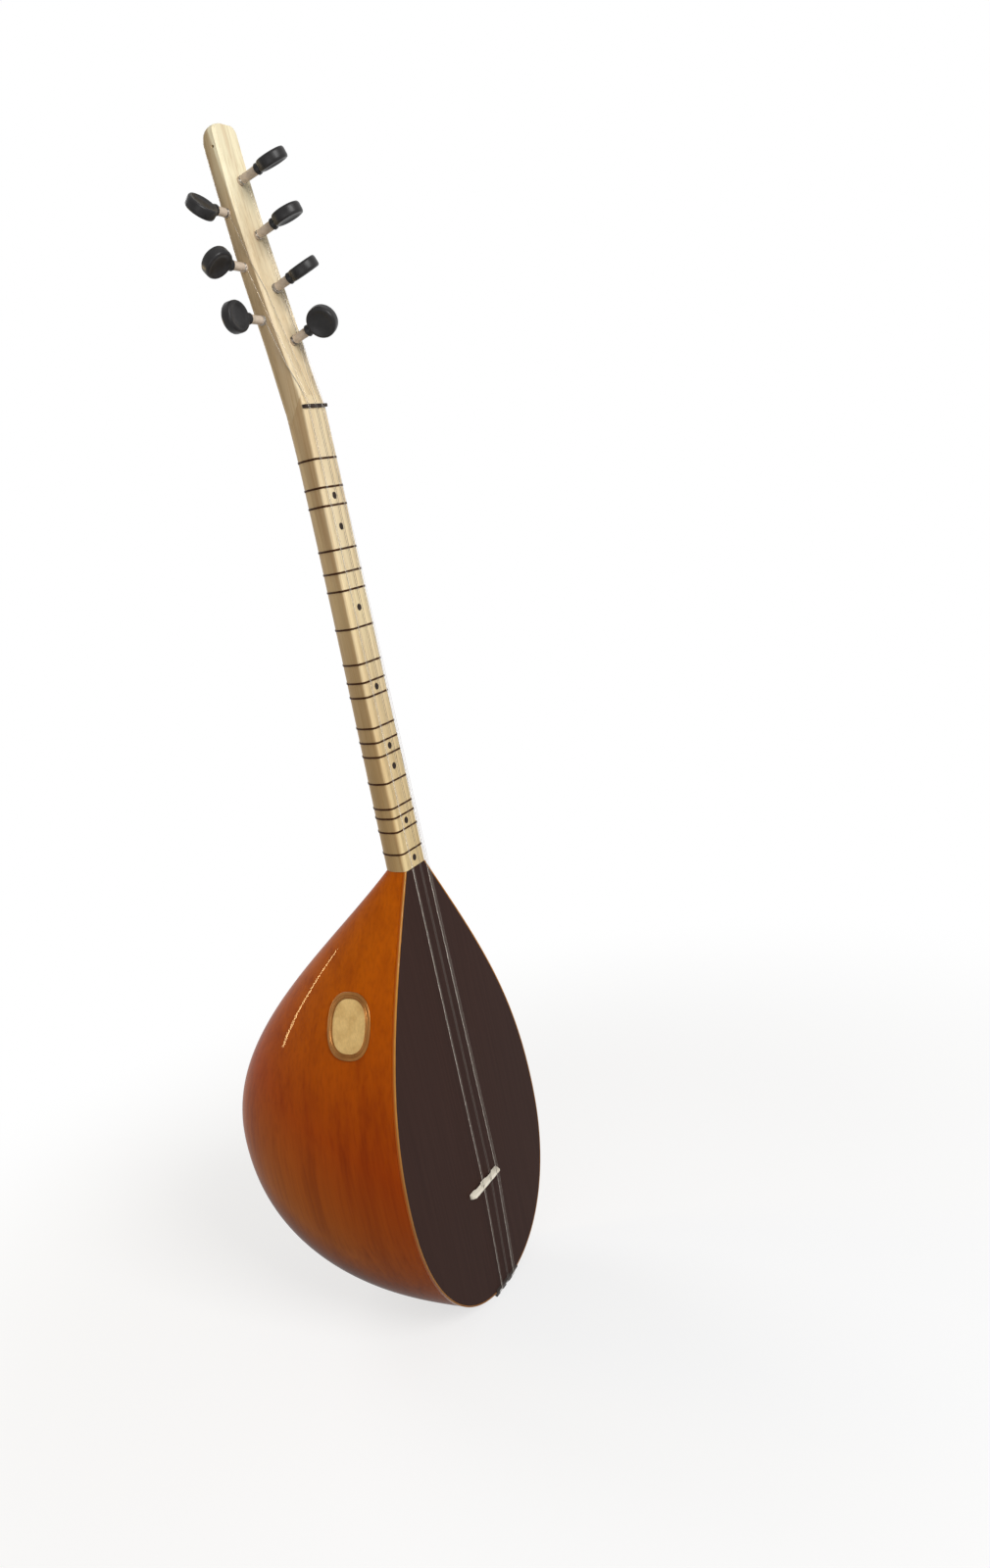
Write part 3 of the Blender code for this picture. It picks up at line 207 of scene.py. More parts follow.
class Finish:
    """A material of plain shader values, to which grain, marks and relief can be added."""

    def __init__(self, name, base, roughness, metallic=0.0, coat=0.0, specular=0.25,
                 coat_roughness=0.04, coat_ior=1.5):
        self.material = bpy.data.materials.new(name)
        self.material.use_nodes = True
        self.tree = self.material.node_tree
        self.shader = self.tree.nodes["Principled BSDF"]
        for socket, value in (
                ("Base Color", (*base, 1.0)), ("Roughness", roughness), ("Metallic", metallic),
                ("Specular IOR Level", specular), ("Coat Weight", coat),
                ("Coat Roughness", coat_roughness), ("Coat IOR", coat_ior)):
            self.shader.inputs[socket].default_value = value
        self.place = self.node("ShaderNodeTexCoord").outputs["Object"]

    def node(self, kind, inputs=None, **settings):
        return node_in(self.tree, kind, inputs, **settings)

    def to_shader(self, value, name):
        self.tree.links.new(value, self.shader.inputs[name])

    def coloured(self, shade):
        """Ends the finish with its colour, and gives its material."""
        self.to_shader(shade, "Base Color")
        return self.material

    def noise(self, stretch, scale, detail, turn=(0.0, 0.0, 0.0), roughness=0.55, distortion=0.0):
        """A noise that is drawn out along each axis whose stretch is small."""
        place = self.node("ShaderNodeMapping", {"Vector": self.place, "Scale": stretch, "Rotation": turn})
        made = self.node("ShaderNodeTexNoise", {
            "Vector": place.outputs["Vector"], "Scale": scale, "Detail": detail,
            "Roughness": roughness, "Distortion": distortion})
        return made.outputs["Fac"]

    def ramp(self, factor, stops):
        """A colour ramp over a factor, through stops of (position, colour)."""
        made = self.node("ShaderNodeValToRGB", {"Fac": factor})
        elements = made.color_ramp.elements
        while len(elements) < len(stops):
            elements.new(0.5)
        for element, (position, shade) in zip(elements, stops):
            element.position = position
            element.color = (*shade, 1.0)
        return made.outputs["Color"]

    def tones(self, factor, shade, *steps):
        """A ramp through one shade, which is darker or lighter by the factor of each step."""
        return self.ramp(factor, [(position, toned(shade, by)) for position, by in steps])

    def mapped(self, value, low=0.0, high=1.0, to_low=0.0, to_high=1.0, steps="LINEAR"):
        """A value between low and high, clamped and moved to the range from to_low to to_high."""
        ends = {"From Min": low, "From Max": high, "To Min": to_low, "To Max": to_high}
        return self.node("ShaderNodeMapRange", {"Value": value, **ends},
                         interpolation_type=steps).outputs[0]

    def along(self, direction):
        """How far a place lies along a direction."""
        return self.node("ShaderNodeVectorMath", {0: self.place, 1: direction},
                         operation="DOT_PRODUCT").outputs["Value"]

    def worked_out(self, first, operation, second):
        return self.node("ShaderNodeMath", {0: first, 1: second}, operation=operation).outputs[0]

    def blended(self, factor, first, second, blend="MIX"):
        return self.node("ShaderNodeMix", {0: factor, 6: first, 7: second}, data_type="RGBA",
                         blend_type=blend).outputs[2]

    def multiplied(self, shade, *others):
        for other in others:
            shade = self.blended(1.0, shade, other, "MULTIPLY")
        return shade

    def bump(self, height, strength, distance=0.0002):
        made = self.node("ShaderNodeBump", {"Height": height, "Strength": strength,
                                            "Distance": distance})
        self.to_shader(made.outputs["Normal"], "Normal")


def toned(shade, by):
    return tuple(channel * by for channel in shade)


def marked_finish(name, shade, roughness, stretch, scale, detail, steps, relief=0.0, specular=0.25):
    """One shade with fine marks or grain, which may also stand up a little."""
    finish = Finish(name, shade, roughness, specular=specular)
    marks = finish.noise(stretch, scale, detail)
    if relief:
        finish.bump(marks, relief)
    return finish.coloured(finish.tones(marks, shade, *steps))


def dark_wood_finish(name):
    return marked_finish(name, colours().ebony, 0.36, (0.10, 1.0, 1.0), 700.0, 3.0,
                         ((0.30, 0.6), (0.70, 1.5)), 0.08)


def lacquer_finish(name):
    """Amber lacquer over carved wood, with painted light and shade: it is painted lighter high up and deepens
    to red-brown at the back of the tail, where shade falls.
    """
    shades = colours()
    finish = Finish(name, shades.amber, 0.34, coat=0.36, specular=0.0, coat_ior=THIN_COAT)
    # Painted light and shade: a ramp over height and depth paints the lacquer lighter high on the bowl and
    # red-brown low at the back of the tail, and noise makes its edge waver.
    drift = finish.worked_out(finish.noise((1.0, 1.0, 0.35), 6.0, 2.0), "MULTIPLY", 0.06)
    level = finish.worked_out(finish.along((0.0, -0.55, 1.0)), "ADD", drift)
    base = finish.ramp(finish.mapped(level, 0.03, 0.40), [
        (0.00, shades.painted_shade_red_brown), (0.14, (0.40, 0.093, 0.007)), (0.43, (0.40, 0.056, 0.0)),
        (0.73, shades.amber), (1.00, (0.58, 0.125, 0.0))])
    fine = finish.noise((1.0, 1.0, 0.022), 330.0, 3.0, (0.0, 0.03, 0.0))
    broad = finish.noise((1.0, 1.0, 0.045), 55.0, 4.0, (0.02, -0.02, 0.0), distortion=0.5)
    lines = finish.ramp(fine, [(0.32, (0.88, 0.84, 0.80)), (0.52, WHITE), (0.74, (1.05, 1.04, 1.0))])
    figure = finish.ramp(broad, [(0.30, (0.82, 0.75, 0.70)), (0.50, WHITE), (0.75, (1.12, 1.16, 1.18))])
    glow = finish.ramp(finish.mapped(finish.along(BACKWARDS), 0.02, 0.15),
                       [(0.0, (0.90, 0.84, 1.0)), (1.0, (1.13, 1.30, 1.0))])
    return finish.coloured(finish.multiplied(base, lines, figure, glow))


def board_finish(name):
    maroon = colours().maroon
    finish = Finish(name, maroon, 0.58, specular=0.06)
    fine = finish.noise((1.0, 1.0, 0.020), 420.0, 3.0)
    patch = finish.noise((1.0, 1.0, 0.30), 14.0, 3.0)
    lines = finish.tones(fine, maroon, (0.30, 0.86), (0.62, 1.0), (0.85, 1.12))
    veil = finish.ramp(patch, [(0.3, (0.95, 0.94, 0.94)), (0.7, (1.05, 1.04, 1.04))])
    finish.to_shader(finish.mapped(patch, to_low=0.54, to_high=0.64), "Roughness")
    finish.bump(fine, 0.08)
    return finish.coloured(finish.multiplied(lines, veil))


def pale_wood_finish(name, bend=0.0):
    """Pale close-grained wood with tan streaks along its length, under thin satin varnish, with painted shade
    on its sides, a painted highlight on its front corners, and painted light and shade along its height.
    """
    shades = colours()
    finish = Finish(name, shades.pale_wood, 0.45, coat=0.08, specular=0.10, coat_roughness=0.25)
    turn = (-bend, 0.0, 0.0)
    depth = finish.worked_out(finish.along((0.0, math.cos(bend), -math.sin(bend))), "ADD",
                              nut_line() * math.sin(bend))
    # Painted shade on the sides, which are painted darker the further back they lie, and a painted highlight
    # on the front corners and chamfers.
    side_shade_and_corner_highlight = finish.ramp(finish.mapped(depth, 0.0, 0.0060), [
        (0.0, (1.0, 1.0, 0.98)), (0.08, (1.05, 1.05, 1.03)), (0.25, (1.03, 1.03, 1.01)),
        (0.50, (0.69, 0.61, 0.52))])
    streak = finish.noise((1.0, 0.55, 0.030), 150.0, 4.0, turn, 0.6, 0.35)
    pore = finish.noise((1.0, 1.0, 0.016), 900.0, 2.0, turn)
    cloud = finish.noise((1.0, 1.0, 0.16), 34.0, 3.0, turn)
    base = finish.ramp(streak, [(0.26, shades.grain), (0.42, toned(shades.pale_wood, 0.90)),
                                (0.58, shades.pale_wood), (0.80, (0.98, 0.86, 0.66))])
    pores = finish.ramp(pore, [(0.28, (0.86, 0.80, 0.72)), (0.50, WHITE)])
    tint = finish.ramp(cloud, [(0.32, (0.92, 0.84, 0.74)), (0.62, (1.04, 1.03, 1.0))])
    # Painted light and shade along the height: darker and warmer low on the neck, where less light falls, and
    # lighter at the headstock's tip, a painted highlight.
    height = finish.ramp(finish.mapped(finish.along(UP), 0.42, 1.02), [
        (0.0, (0.87, 0.81, 0.66)), (0.25, (0.90, 0.86, 0.78)), (0.37, (1.0, 0.98, 0.91)),
        (0.47, WHITE), (0.63, WHITE), (0.70, (0.89, 0.88, 0.89)), (0.87, (0.90, 0.91, 0.93)),
        (0.93, (1.05, 1.12, 1.19))])
    finish.bump(pore, 0.10)
    return finish.coloured(finish.multiplied(base, pores, tint, side_shade_and_corner_highlight, height))


def binding_finish(name):
    """A tan face with painted shade that deepens it towards the tail, and a side that the bowl's lacquer has
    run over.
    """
    shades = colours()
    finish = Finish(name, shades.binding, 0.34, coat=1.0, specular=0.0, coat_ior=THIN_COAT)
    run = finish.mapped(finish.along(BACKWARDS), 0.0020, 0.0024)
    fine = finish.noise((1.0, 1.0, 0.08), 260.0, 3.0)
    lines = finish.tones(fine, shades.binding, (0.3, 0.84), (0.6, 1.0))
    # Painted shade: the face is painted darker low down, towards the tail.
    height = finish.ramp(finish.mapped(finish.along(UP), 0.12, 0.30),
                         [(0.0, (0.58, 0.58, 0.90)), (1.0, WHITE)])
    face = finish.multiplied(lines, height)
    return finish.coloured(finish.blended(run, face, toned(shades.amber, 0.9)))


def satin_black_finish(name, black, roughness=0.34, specular=0.25):
    """Moulded or turned black, with faint handling marks that change its gloss."""
    finish = Finish(name, black, roughness, specular=specular)
    marks = finish.noise(EVEN, 240.0, 4.0)
    gloss = finish.mapped(marks, to_low=roughness - 0.06, to_high=roughness + 0.10)
    finish.to_shader(gloss, "Roughness")
    finish.bump(marks, 0.10, 0.0003)
    return finish.coloured(finish.tones(marks, black, (0.3, 1.0), (0.75, 1.7)))


def wire_finish(name, steel, wound=False):
    """Bright drawn steel, or a fine wire wound over a core, whose turns show as a ripple."""
    finish = Finish(name, steel, 0.24, metallic=1.0)
    if wound:
        turns = finish.node("ShaderNodeTexWave", {"Vector": finish.place, "Scale": 1100.0},
                            bands_direction="Z").outputs["Fac"]
        finish.bump(turns, 0.6, 0.0001)
        return finish.coloured(finish.tones(turns, steel, (0.0, 0.55), (0.6, 1.0)))
    marks = finish.noise(EVEN, 300.0, 2.0)
    return finish.coloured(finish.tones(marks, steel, (0.3, 0.88), (0.7, 1.0)))


def badge_finish(name, shade, roughness):
    """Brushed brass with a slight patina."""
    finish = Finish(name, shade, roughness, metallic=0.6)
    brushed = finish.noise((1.0, 1.0, 0.04), 800.0, 3.0)
    lines = finish.tones(brushed, shade, (0.3, 0.84), (0.65, 1.0))
    veil = finish.ramp(finish.noise(EVEN, 70.0, 4.0), [(0.32, (0.80, 0.74, 0.66)), (0.58, WHITE)])
    finish.bump(brushed, 0.12)
    return finish.coloured(finish.multiplied(lines, veil))


# Meshes


def in_scene(name, data):
    """A new object at the origin, linked to the scene."""
    item = bpy.data.objects.new(name, data)
    bpy.context.scene.collection.objects.link(item)
    return item


def mesh_of(name, bm):
    mesh = bpy.data.meshes.new(name)
    bm.to_mesh(mesh)
    bm.free()
    return mesh


def object_of(name, bm, material, replaced, slot, smooth_deg=35.0, body=INSTRUMENT):
    """Ends a bmesh as a shown piece that rides on a body and stands for CAD nodes."""
    mesh = mesh_of(name, bm)
    mesh.shade_smooth()
    mesh.set_sharp_from_angle(angle=math.radians(smooth_deg))
    mesh.materials.append(material)
    placed(in_scene(name, mesh), body, replaced, slot)


def placed(piece, body, replaced, slot):
    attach(piece, body)
    if replaced:
        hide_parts(*replaced)


def draped_grid(columns, rows, place):
    """A grid whose corners (u, v) are moved to place(u, v); edges that meet are welded."""
    bm = bmesh.new()
    bmesh.ops.create_grid(bm, x_segments=columns, y_segments=rows, size=0.5)
    for vert in bm.verts:
        vert.co = place(vert.co.x + 0.5, vert.co.y + 0.5)
    bmesh.ops.remove_doubles(bm, verts=bm.verts, dist=WELD)
    return bm


def closed(bm):
    bmesh.ops.holes_fill(bm, edges=[edge for edge in bm.edges if edge.is_boundary], sides=0)
    bmesh.ops.recalc_face_normals(bm, faces=bm.faces)
    return bm


def thickened(bm, thickness):
    bmesh.ops.recalc_face_normals(bm, faces=bm.faces)
    bmesh.ops.solidify(bm, geom=bm.faces[:], thickness=thickness)
    return bm


def carved(bm, cutters):
    """Cuts solids out of a bmesh with exact Booleans, and gives the result as a new bmesh."""
    body = in_scene("carved", mesh_of("carved", bm))
    tools = [in_scene("cutter", mesh_of("cutter", cutter)) for cutter in cutters]
    for tool in tools:
        change = body.modifiers.new("cut", "BOOLEAN")
        change.operation = "DIFFERENCE"
        change.solver = "EXACT"
        change.object = tool
    result = bmesh.new()
    result.from_object(body, bpy.context.evaluated_depsgraph_get())
    for item in [body, *tools]:
        bpy.data.objects.remove(item, do_unlink=True)
    return result


def rod(start, end, radius_start, radius_end, sides):
    """A closed tapered rod between two points."""
    bm = bmesh.new()
    along = end - start
    turn = along.to_track_quat("Z", "Y").to_matrix().to_4x4()
    bmesh.ops.create_cone(bm, cap_ends=True, segments=sides, radius1=radius_start,
                          radius2=radius_end, depth=along.length,
                          matrix=Matrix.Translation((start + end) / 2) @ turn)
    return bm


def block(low, high):
    """A cuboid between two corners."""
    bm = bmesh.new()
    low, high = Vector(low), Vector(high)
    shape = Matrix.Translation((low + high) / 2) @ Matrix.Diagonal((*(high - low), 1.0))
    bmesh.ops.create_cube(bm, size=1.0, matrix=shape)
    return bm


def turned(profile, steps, place):
    """A profile of (radius, height) points spun round local Z, then placed by a matrix."""
    bm = bmesh.new()
    verts = [bm.verts.new((radius, 0.0, height)) for radius, height in profile]
    edges = [bm.edges.new(pair) for pair in zip(verts, verts[1:])]
    bmesh.ops.spin(bm, geom=verts + edges, cent=(0.0, 0.0, 0.0), axis=(0.0, 0.0, 1.0),
                   angle=2 * math.pi, steps=steps, use_merge=True)
    bmesh.ops.remove_doubles(bm, verts=bm.verts, dist=WELD)
    closed(bm)
    bmesh.ops.transform(bm, matrix=place, verts=bm.verts)
    return bm


def joined(parts):
    whole = bmesh.new()
    for part in parts:
        mesh = mesh_of("part", part)
        whole.from_mesh(mesh)
        bpy.data.meshes.remove(mesh)
    return whole


def cord_curve(name, routes, radius, material, replaced, slot, body=INSTRUMENT, rings=False):
    """Round lines along one or more routes, as one curve object."""
    curve = bpy.data.curves.new(name, "CURVE")
    curve.dimensions = "3D"
    curve.bevel_depth = radius
    curve.bevel_resolution = 2
    curve.use_fill_caps = not rings
    for route in routes:
        spline = curve.splines.new("POLY")
        spline.points.add(len(route) - 1)
        spline.use_cyclic_u = rings
        spline.use_smooth = True
        for point, place in zip(spline.points, route):
            point.co = (*place, 1.0)
    curve.materials.append(material)
    placed(in_scene(name, curve), body, replaced, slot)


# The body's shape


def nut_line():
    return sizes().body + sizes().neck


def bridge_line():
    return nut_line() - sizes().scale + sizes().bridge_up


def bezier(a, b, c, d, t):
    return (1 - t) ** 3 * a + 3 * (1 - t) ** 2 * t * b + 3 * (1 - t) * t * t * c + t ** 3 * d


def rounded_off(share):
    """What is left of a full size at a share of the way to the tail."""
    return (1 - share ** TAIL_ROUNDNESS) ** (1 / TAIL_ROUNDNESS)


@functools.lru_cache(maxsize=None)
def swell(down, start, peak, peak_down, rise, run, landing, full):
    """One half of a pear shape at a distance down the body."""
    if down >= peak_down:
        share = min((down - peak_down) / (full - peak_down), 1.0)
        return peak * rounded_off(share)
    low, high = 0.0, 1.0
    for _ in range(30):
        middle = (low + high) / 2
        if bezier(0.0, run * peak_down, (1 - landing) * peak_down, peak_down, middle) < down:
            low = middle
        else:
            high = middle
    return bezier(start, start + rise * (peak - start), peak, peak, low)


def half_width_at(down):
    size = sizes()
    return swell(down, NECK_END_HALF_WIDTH, size.half_width, WIDEST_DOWN, 0.60, 0.38, 0.37, size.body)


def depth_at(down):
    size = sizes()
    return swell(down, NECK_END_DEPTH, size.depth, DEEPEST_DOWN, 0.37, 0.29, 0.39, size.body)


def rim_front():
    """How far back the bowl's rim lies, under the soundboard and the glue."""
    return EDGE_STEP + GLUE_GAP + sizes().board


def squared(wave, roundness):
    """A sine or cosine for a curve between an oval and a rectangle, which is an oval at 2."""
    return math.copysign(abs(wave) ** (2 / roundness), wave)


def bowl_surface(down, turn):
    """A point on the bowl: turn runs from the left rim, 0, round the back to the right rim, pi."""
    half, depth, front = half_width_at(down), depth_at(down), rim_front()
    across = squared(math.cos(turn), SECTION_ROUNDNESS)
    bulge = 1 + SIDE_BULGE * math.sin(2 * min(turn, math.pi - turn))
    back = front + max(depth - front, 0.0) * squared(max(math.sin(turn), 0.0), SECTION_ROUNDNESS)
    return Vector((-half * bulge * across, back, sizes().body - down))


def eased_turn(u, ease=0.055):
    """Spreads the points of a section evenly round its corners."""
    return math.pi * (u - ease * math.sin(4 * math.pi * u))


def down_the_body(v):
    return sizes().body * (1 - (1 - v) ** 2.0)


def outline_point(u, inset):
    """A point of the body's outline, from the left neck end, 0, round the tail to the right, 1."""
    size = sizes()
    side = -1.0 if u < 0.5 else 1.0
    v = 1 - abs(2 * u - 1)
    step = 0.0005
    down = down_the_body(v)
    if v > 0.9999:
        return Vector((0.0, inset))
    before, after = max(down - step, 0.0), min(down + step, size.body)
    lean = Vector((half_width_at(after) - half_width_at(before), after - before)).normalized()
    x = half_width_at(down) - inset * lean.y
    z = size.body - down - inset * lean.x if v > 0.0 else size.body
    return Vector((side * max(x, 0.0), max(z, inset)))


def board_front(x, z):
    """How far back the soundboard's face lies: its edge is a step behind the neck's front."""
    size = sizes()
    bridge = bridge_line()
    down = min(max(size.body - z, 0.0), size.body)
    half = max(half_width_at(down), abs(x), 0.001)
    reach = size.body - bridge if z > bridge else bridge
    share = (z - bridge) / reach
    return EDGE_STEP - size.crown * (1 - (x / half) ** 2) * max(1 - share * share, 0.0)


def tail_edge(x):
    """How high the tail's outline lies at a distance from the centre line."""
    size = sizes()
    return (size.body - WIDEST_DOWN) * (1 - rounded_off(abs(x) / size.half_width))


# The neck's and headstock's shape


def eased_through(stations, s):
    """A smooth curve through stations of (place, value), read at s."""
    places, values = zip(*stations)
    last = len(stations) - 1
    around = [(max(i - 1, 0), min(i + 1, last)) for i in range(last + 1)]
    slopes = [(values[b] - values[a]) / (places[b] - places[a]) for a, b in around]
    i = 0
    while i < last - 1 and s > places[i + 1]:
        i += 1
    span = places[i + 1] - places[i]
    t = min(max((s - places[i]) / span, 0.0), 1.0)
    start = (2 * t ** 3 - 3 * t ** 2 + 1) * values[i] + (t ** 3 - 2 * t ** 2 + t) * span * slopes[i]
    end = (3 * t ** 2 - 2 * t ** 3) * values[i + 1] + (t ** 3 - t ** 2) * span * slopes[i + 1]
    return start + end


def stick_frame(s):
    """A place on the front of the neck, s < 0, or the headstock, and the direction to its back."""
    if s < 0:
        return Vector((0.0, 0.0, nut_line() + s)), Vector((0.0, 1.0, 0.0))
    turn = HEAD_ANGLE if s > 0 else HEAD_ANGLE / 2
    stretch = 1.0 if s > 0 else 1 / math.cos(HEAD_ANGLE / 2)
    place = Vector((0.0, s * math.sin(HEAD_ANGLE), nut_line() + s * math.cos(HEAD_ANGLE)))
    back = Vector((0.0, math.cos(turn), -math.sin(turn)))
    reach = sizes().head - SWEEP_FROM
    past = max(s - SWEEP_FROM, 0.0) / reach
    place -= back * TIP_SWEEP * past ** 2
    return place, stretch * (Matrix.Rotation(math.atan(2 * TIP_SWEEP * past / reach), 3, "X") @ back)


def tip_rounding(s, reach):
    """The share of a quarter round at the headstock's tip that is cut away at s."""
    past = s - (sizes().head - reach)
    return 1 - math.sqrt(max(1 - (past / reach) ** 2, 0.0)) if past > 0 else 0.0


def stick_sizes(s):
    """Half width, depth, front corner and roundness of the neck or headstock."""
    neck, head = sizes().neck, sizes().head
    width = eased_through([(-neck, 0.0330), (-0.15 * neck, 0.0304), (0.0, 0.0286), (0.018, 0.0274),
                           (0.30 * head, 0.0304), (0.65 * head, 0.0304), (head, 0.0288)], s)
    width -= 2 * TIP_SIDE_ROUND * tip_rounding(s, TIP_SIDE_ROUND)
    depth = eased_through([(-neck, 0.0280), (0.0, 0.0245), (0.25 * head, 0.0205),
                           (0.5 * head, 0.0190), (0.72 * head, 0.0170), (head, 0.0170)], s)
    depth -= TIP_BACK_ROUND * tip_rounding(s, TIP_BACK_ROUND)
    corner = eased_through([(-neck, 0.0040), (0.0, 0.0016), (0.2 * head, HEAD_CORNER),
                            (head, HEAD_CORNER)], s)
    roundness = eased_through([(-neck, 2.1), (-0.05, 2.1), (0.25 * head, 4.5), (head, 5.0)], s)
    return width / 2, depth, corner, roundness


CORNER_POINTS = 5
BACK_POINTS = 34


def stick_outline(s, offset=0.0):
    """Points round one section: a flat front, eased or chamfered corners and a rounded back."""
    half, depth, corner, roundness = stick_sizes(s)
    flat = []
    chamfer = min(max(s, 0.0) / (0.2 * sizes().head), 1.0)
    for i in range(CORNER_POINTS):
        turn = math.pi / 2 * i / CORNER_POINTS
        x, y = half - corner + corner * math.sin(turn), corner * (1 - math.cos(turn))
        straight = i / CORNER_POINTS
        x += chamfer * (half - corner + corner * straight - x)
        y += chamfer * (corner * straight - y)
        flat.append((x, y))
    for i in range(BACK_POINTS + 1):
        turn = eased_turn(i / BACK_POINTS, 0.05 if roundness > 3 else 0.0)
        across, back = squared(math.cos(turn), roundness), squared(max(math.sin(turn), 0.0), roundness)
        flat.append((half * across, corner + (depth - corner) * back))
    flat += [(-x, y) for x, y in reversed(flat[:CORNER_POINTS])]
    place, back = stick_frame(s)
    points = []
    for i, (x, y) in enumerate(flat):
        before, after = flat[i - 1], flat[(i + 1) % len(flat)]
        along = Vector((after[0] - before[0], after[1] - before[1])).normalized()
        shift = Vector((along.y, -along.x)) * offset
        points.append(place + Vector((x + shift.x, 0.0, 0.0)) + (y + shift.y) * back)
    return points


def stick_shell(places):
    """The closed skin through the sections at these places along the neck or headstock."""
    count = 2 * CORNER_POINTS + BACK_POINTS + 1
    sections = [stick_outline(s) for s in places]
    rows = len(places) - 1
    return closed(draped_grid(count, rows, lambda u, v: sections[round(v * rows)]
                              [round(u * count) % count].copy()))


def cut_at_scarf(bm, keep_head):
    """Keeps the headstock's or the neck's side of the slanted glue line."""
    front = stick_frame(0.010)[0]
    back = Vector((0.0, stick_sizes(-0.020)[1], nut_line() - 0.020))
    along = (back - front).normalized()
    normal = Vector((0.0, -along.z, along.y))
    normal *= (1 if normal.z > 0 else -1) * (-1 if keep_head else 1)
    bmesh.ops.bisect_plane(bm, geom=bm.verts[:] + bm.edges[:] + bm.faces[:],
                           plane_co=front - normal * 0.00005, plane_no=normal, clear_outer=True)
    return closed(bm)


class Peg:
    """One peg's name, frame, exposed length and length inside the wood."""

    def __init__(self, name):
        self.name = name
        self.up, self.exposed, turn_deg = PEGS[name]
        self.side = name.startswith("side")
        place, back = stick_frame(self.up)
        half, depth, _, _ = stick_sizes(self.up)
        along = Vector((0.0, -back.z, back.y))
        lean = SIDE_PEG_LEAN if self.side else FRONT_PEG_LEAN
        outward = Vector((-1.0, 0.0, 0.0)) if self.side else -back
        self.base = place + back * SIDE_PEG_BACK + outward * half if self.side else place
        self.seat = (2 * half if self.side else depth) / math.cos(lean)
        self.axis = (outward * math.cos(lean) + along * math.sin(lean)).normalized()
        facing = -back if self.side else Vector((-1.0, 0.0, 0.0))
        facing = (facing - facing.dot(self.axis) * self.axis).normalized()
        facing = Matrix.Rotation(math.radians(turn_deg), 3, self.axis) @ facing
        turn = Matrix((facing.cross(self.axis), facing, self.axis)).transposed()
        self.matrix = Matrix.Translation(self.base) @ turn.to_4x4()
        self.front = -back

    def radius(self, height):
        return sizes().peg / 2 + PEG_TAPER * height

    def at(self, height):
        """A point of the axis, at a height above the wood."""
        return self.base + self.axis * height


# Operators


class BaglamaStep(bpy.types.Operator):
    """A step of the build, which reads the sizes and colours of the scene."""

    bl_options = {"REGISTER", "UNDO"}

    def execute(self, context):
        self.make()
        return {"FINISHED"}


class BAGLAMA_OT_bowl(BaglamaStep):
    """Carve the bowl and lacquer it"""

    bl_idname = "baglama.bowl"
    bl_label = "Bowl"

    def make(self):
        bm = draped_grid(120, 150, lambda u, v: bowl_surface(down_the_body(v), eased_turn(u))
                         if v < 1 else Vector((0.0, rim_front(), 0.0)))
        thickened(bm, sizes().wall)
        hole = rod(Vector((0.0, SOUND_HOLE_BACK, -0.01)), Vector((0.0, SOUND_HOLE_BACK, 0.03)),
                   SOUND_HOLE_RADIUS, SOUND_HOLE_RADIUS, 48)
        bm = carved(bm, [hole])
        object_of("carved_bowl", bm, lacquer_finish("amber_lacquer"), ["bowl"], "amber_lacquer", 50)


def saddle_notch():
    """What the tail saddle takes out of the soundboard and its binding."""
    half = SADDLE_WIDTH / 2 + GLUE_GAP
    return block((-half, -0.01, -0.01), (half, 0.02, SADDLE_DEPTH + GLUE_GAP))


class BAGLAMA_OT_soundboard(BaglamaStep):
    """Arch the soundboard and colour it"""

    bl_idname = "baglama.soundboard"
    bl_label = "Soundboard"

    def make(self):
        size = sizes()
        inset = size.binding + GLUE_GAP
        bridge = bridge_line()
        left, right = outline_point(0.0, inset), outline_point(1.0, inset)

        def place(u, v):
            edge = outline_point(u / 0.95, inset) if u < 0.95 else right.lerp(left, (u - 0.95) / 0.05)
            x, z = edge.x * v, bridge + (edge.y - bridge) * v
            return Vector((x, board_front(x, z), z))

        bm = thickened(draped_grid(160, 26, place), size.board)
        object_of("arched_soundboard", carved(bm, [saddle_notch()]), board_finish("maroon_soundboard"),
                  ["soundboard"], "maroon_soundboard", 40)


class BAGLAMA_OT_binding(BaglamaStep):
    """Lay the pale strips round the soundboard"""

    bl_idname = "baglama.binding"
    bl_label = "Binding"

    def make(self):
        size = sizes()
        front, back, ease = EDGE_STEP, EDGE_STEP + size.board, 0.00025
        corners = ((0.0, back), (0.0, front + ease), (ease, front), (size.binding, front),
                   (size.binding, back))
        finish = binding_finish("cream_binding")
        for side, start in (("left", 0.0), ("right", 0.5)):
            def place(u, v):
                inset, y = corners[round(u * len(corners)) % len(corners)]
                edge = outline_point(start + v / 2, inset)
                return Vector((edge.x, y, edge.y))

            bm = closed(draped_grid(len(corners), 150, place))
            object_of(f"binding_strip_{side}", carved(bm, [saddle_notch()]), finish,
                      [f"edge_binding_{side}"], "cream_binding")


class BAGLAMA_OT_neck(BaglamaStep):
    """Shape the neck"""

    bl_idname = "baglama.neck"
    bl_label = "Neck"

    def make(self):
        neck = sizes().neck
        places = [-neck, -neck + 0.0004] + [-neck * (1 - i / 60) for i in range(1, 60)]
        places += [-0.003, 0.0, 0.003, 0.007, 0.014]
        bm = cut_at_scarf(stick_shell(places), False)
        nut = stick_sizes(0.0)[0] + 0.002
        slot = block((-nut, -0.004, nut_line() - 0.0002), (nut, 0.0019, nut_line() + 0.0028))
        object_of("shaped_neck", carved(bm, [slot]), pale_wood_finish("neck_wood"), ["neck"],
                  "pale_wood", 32)


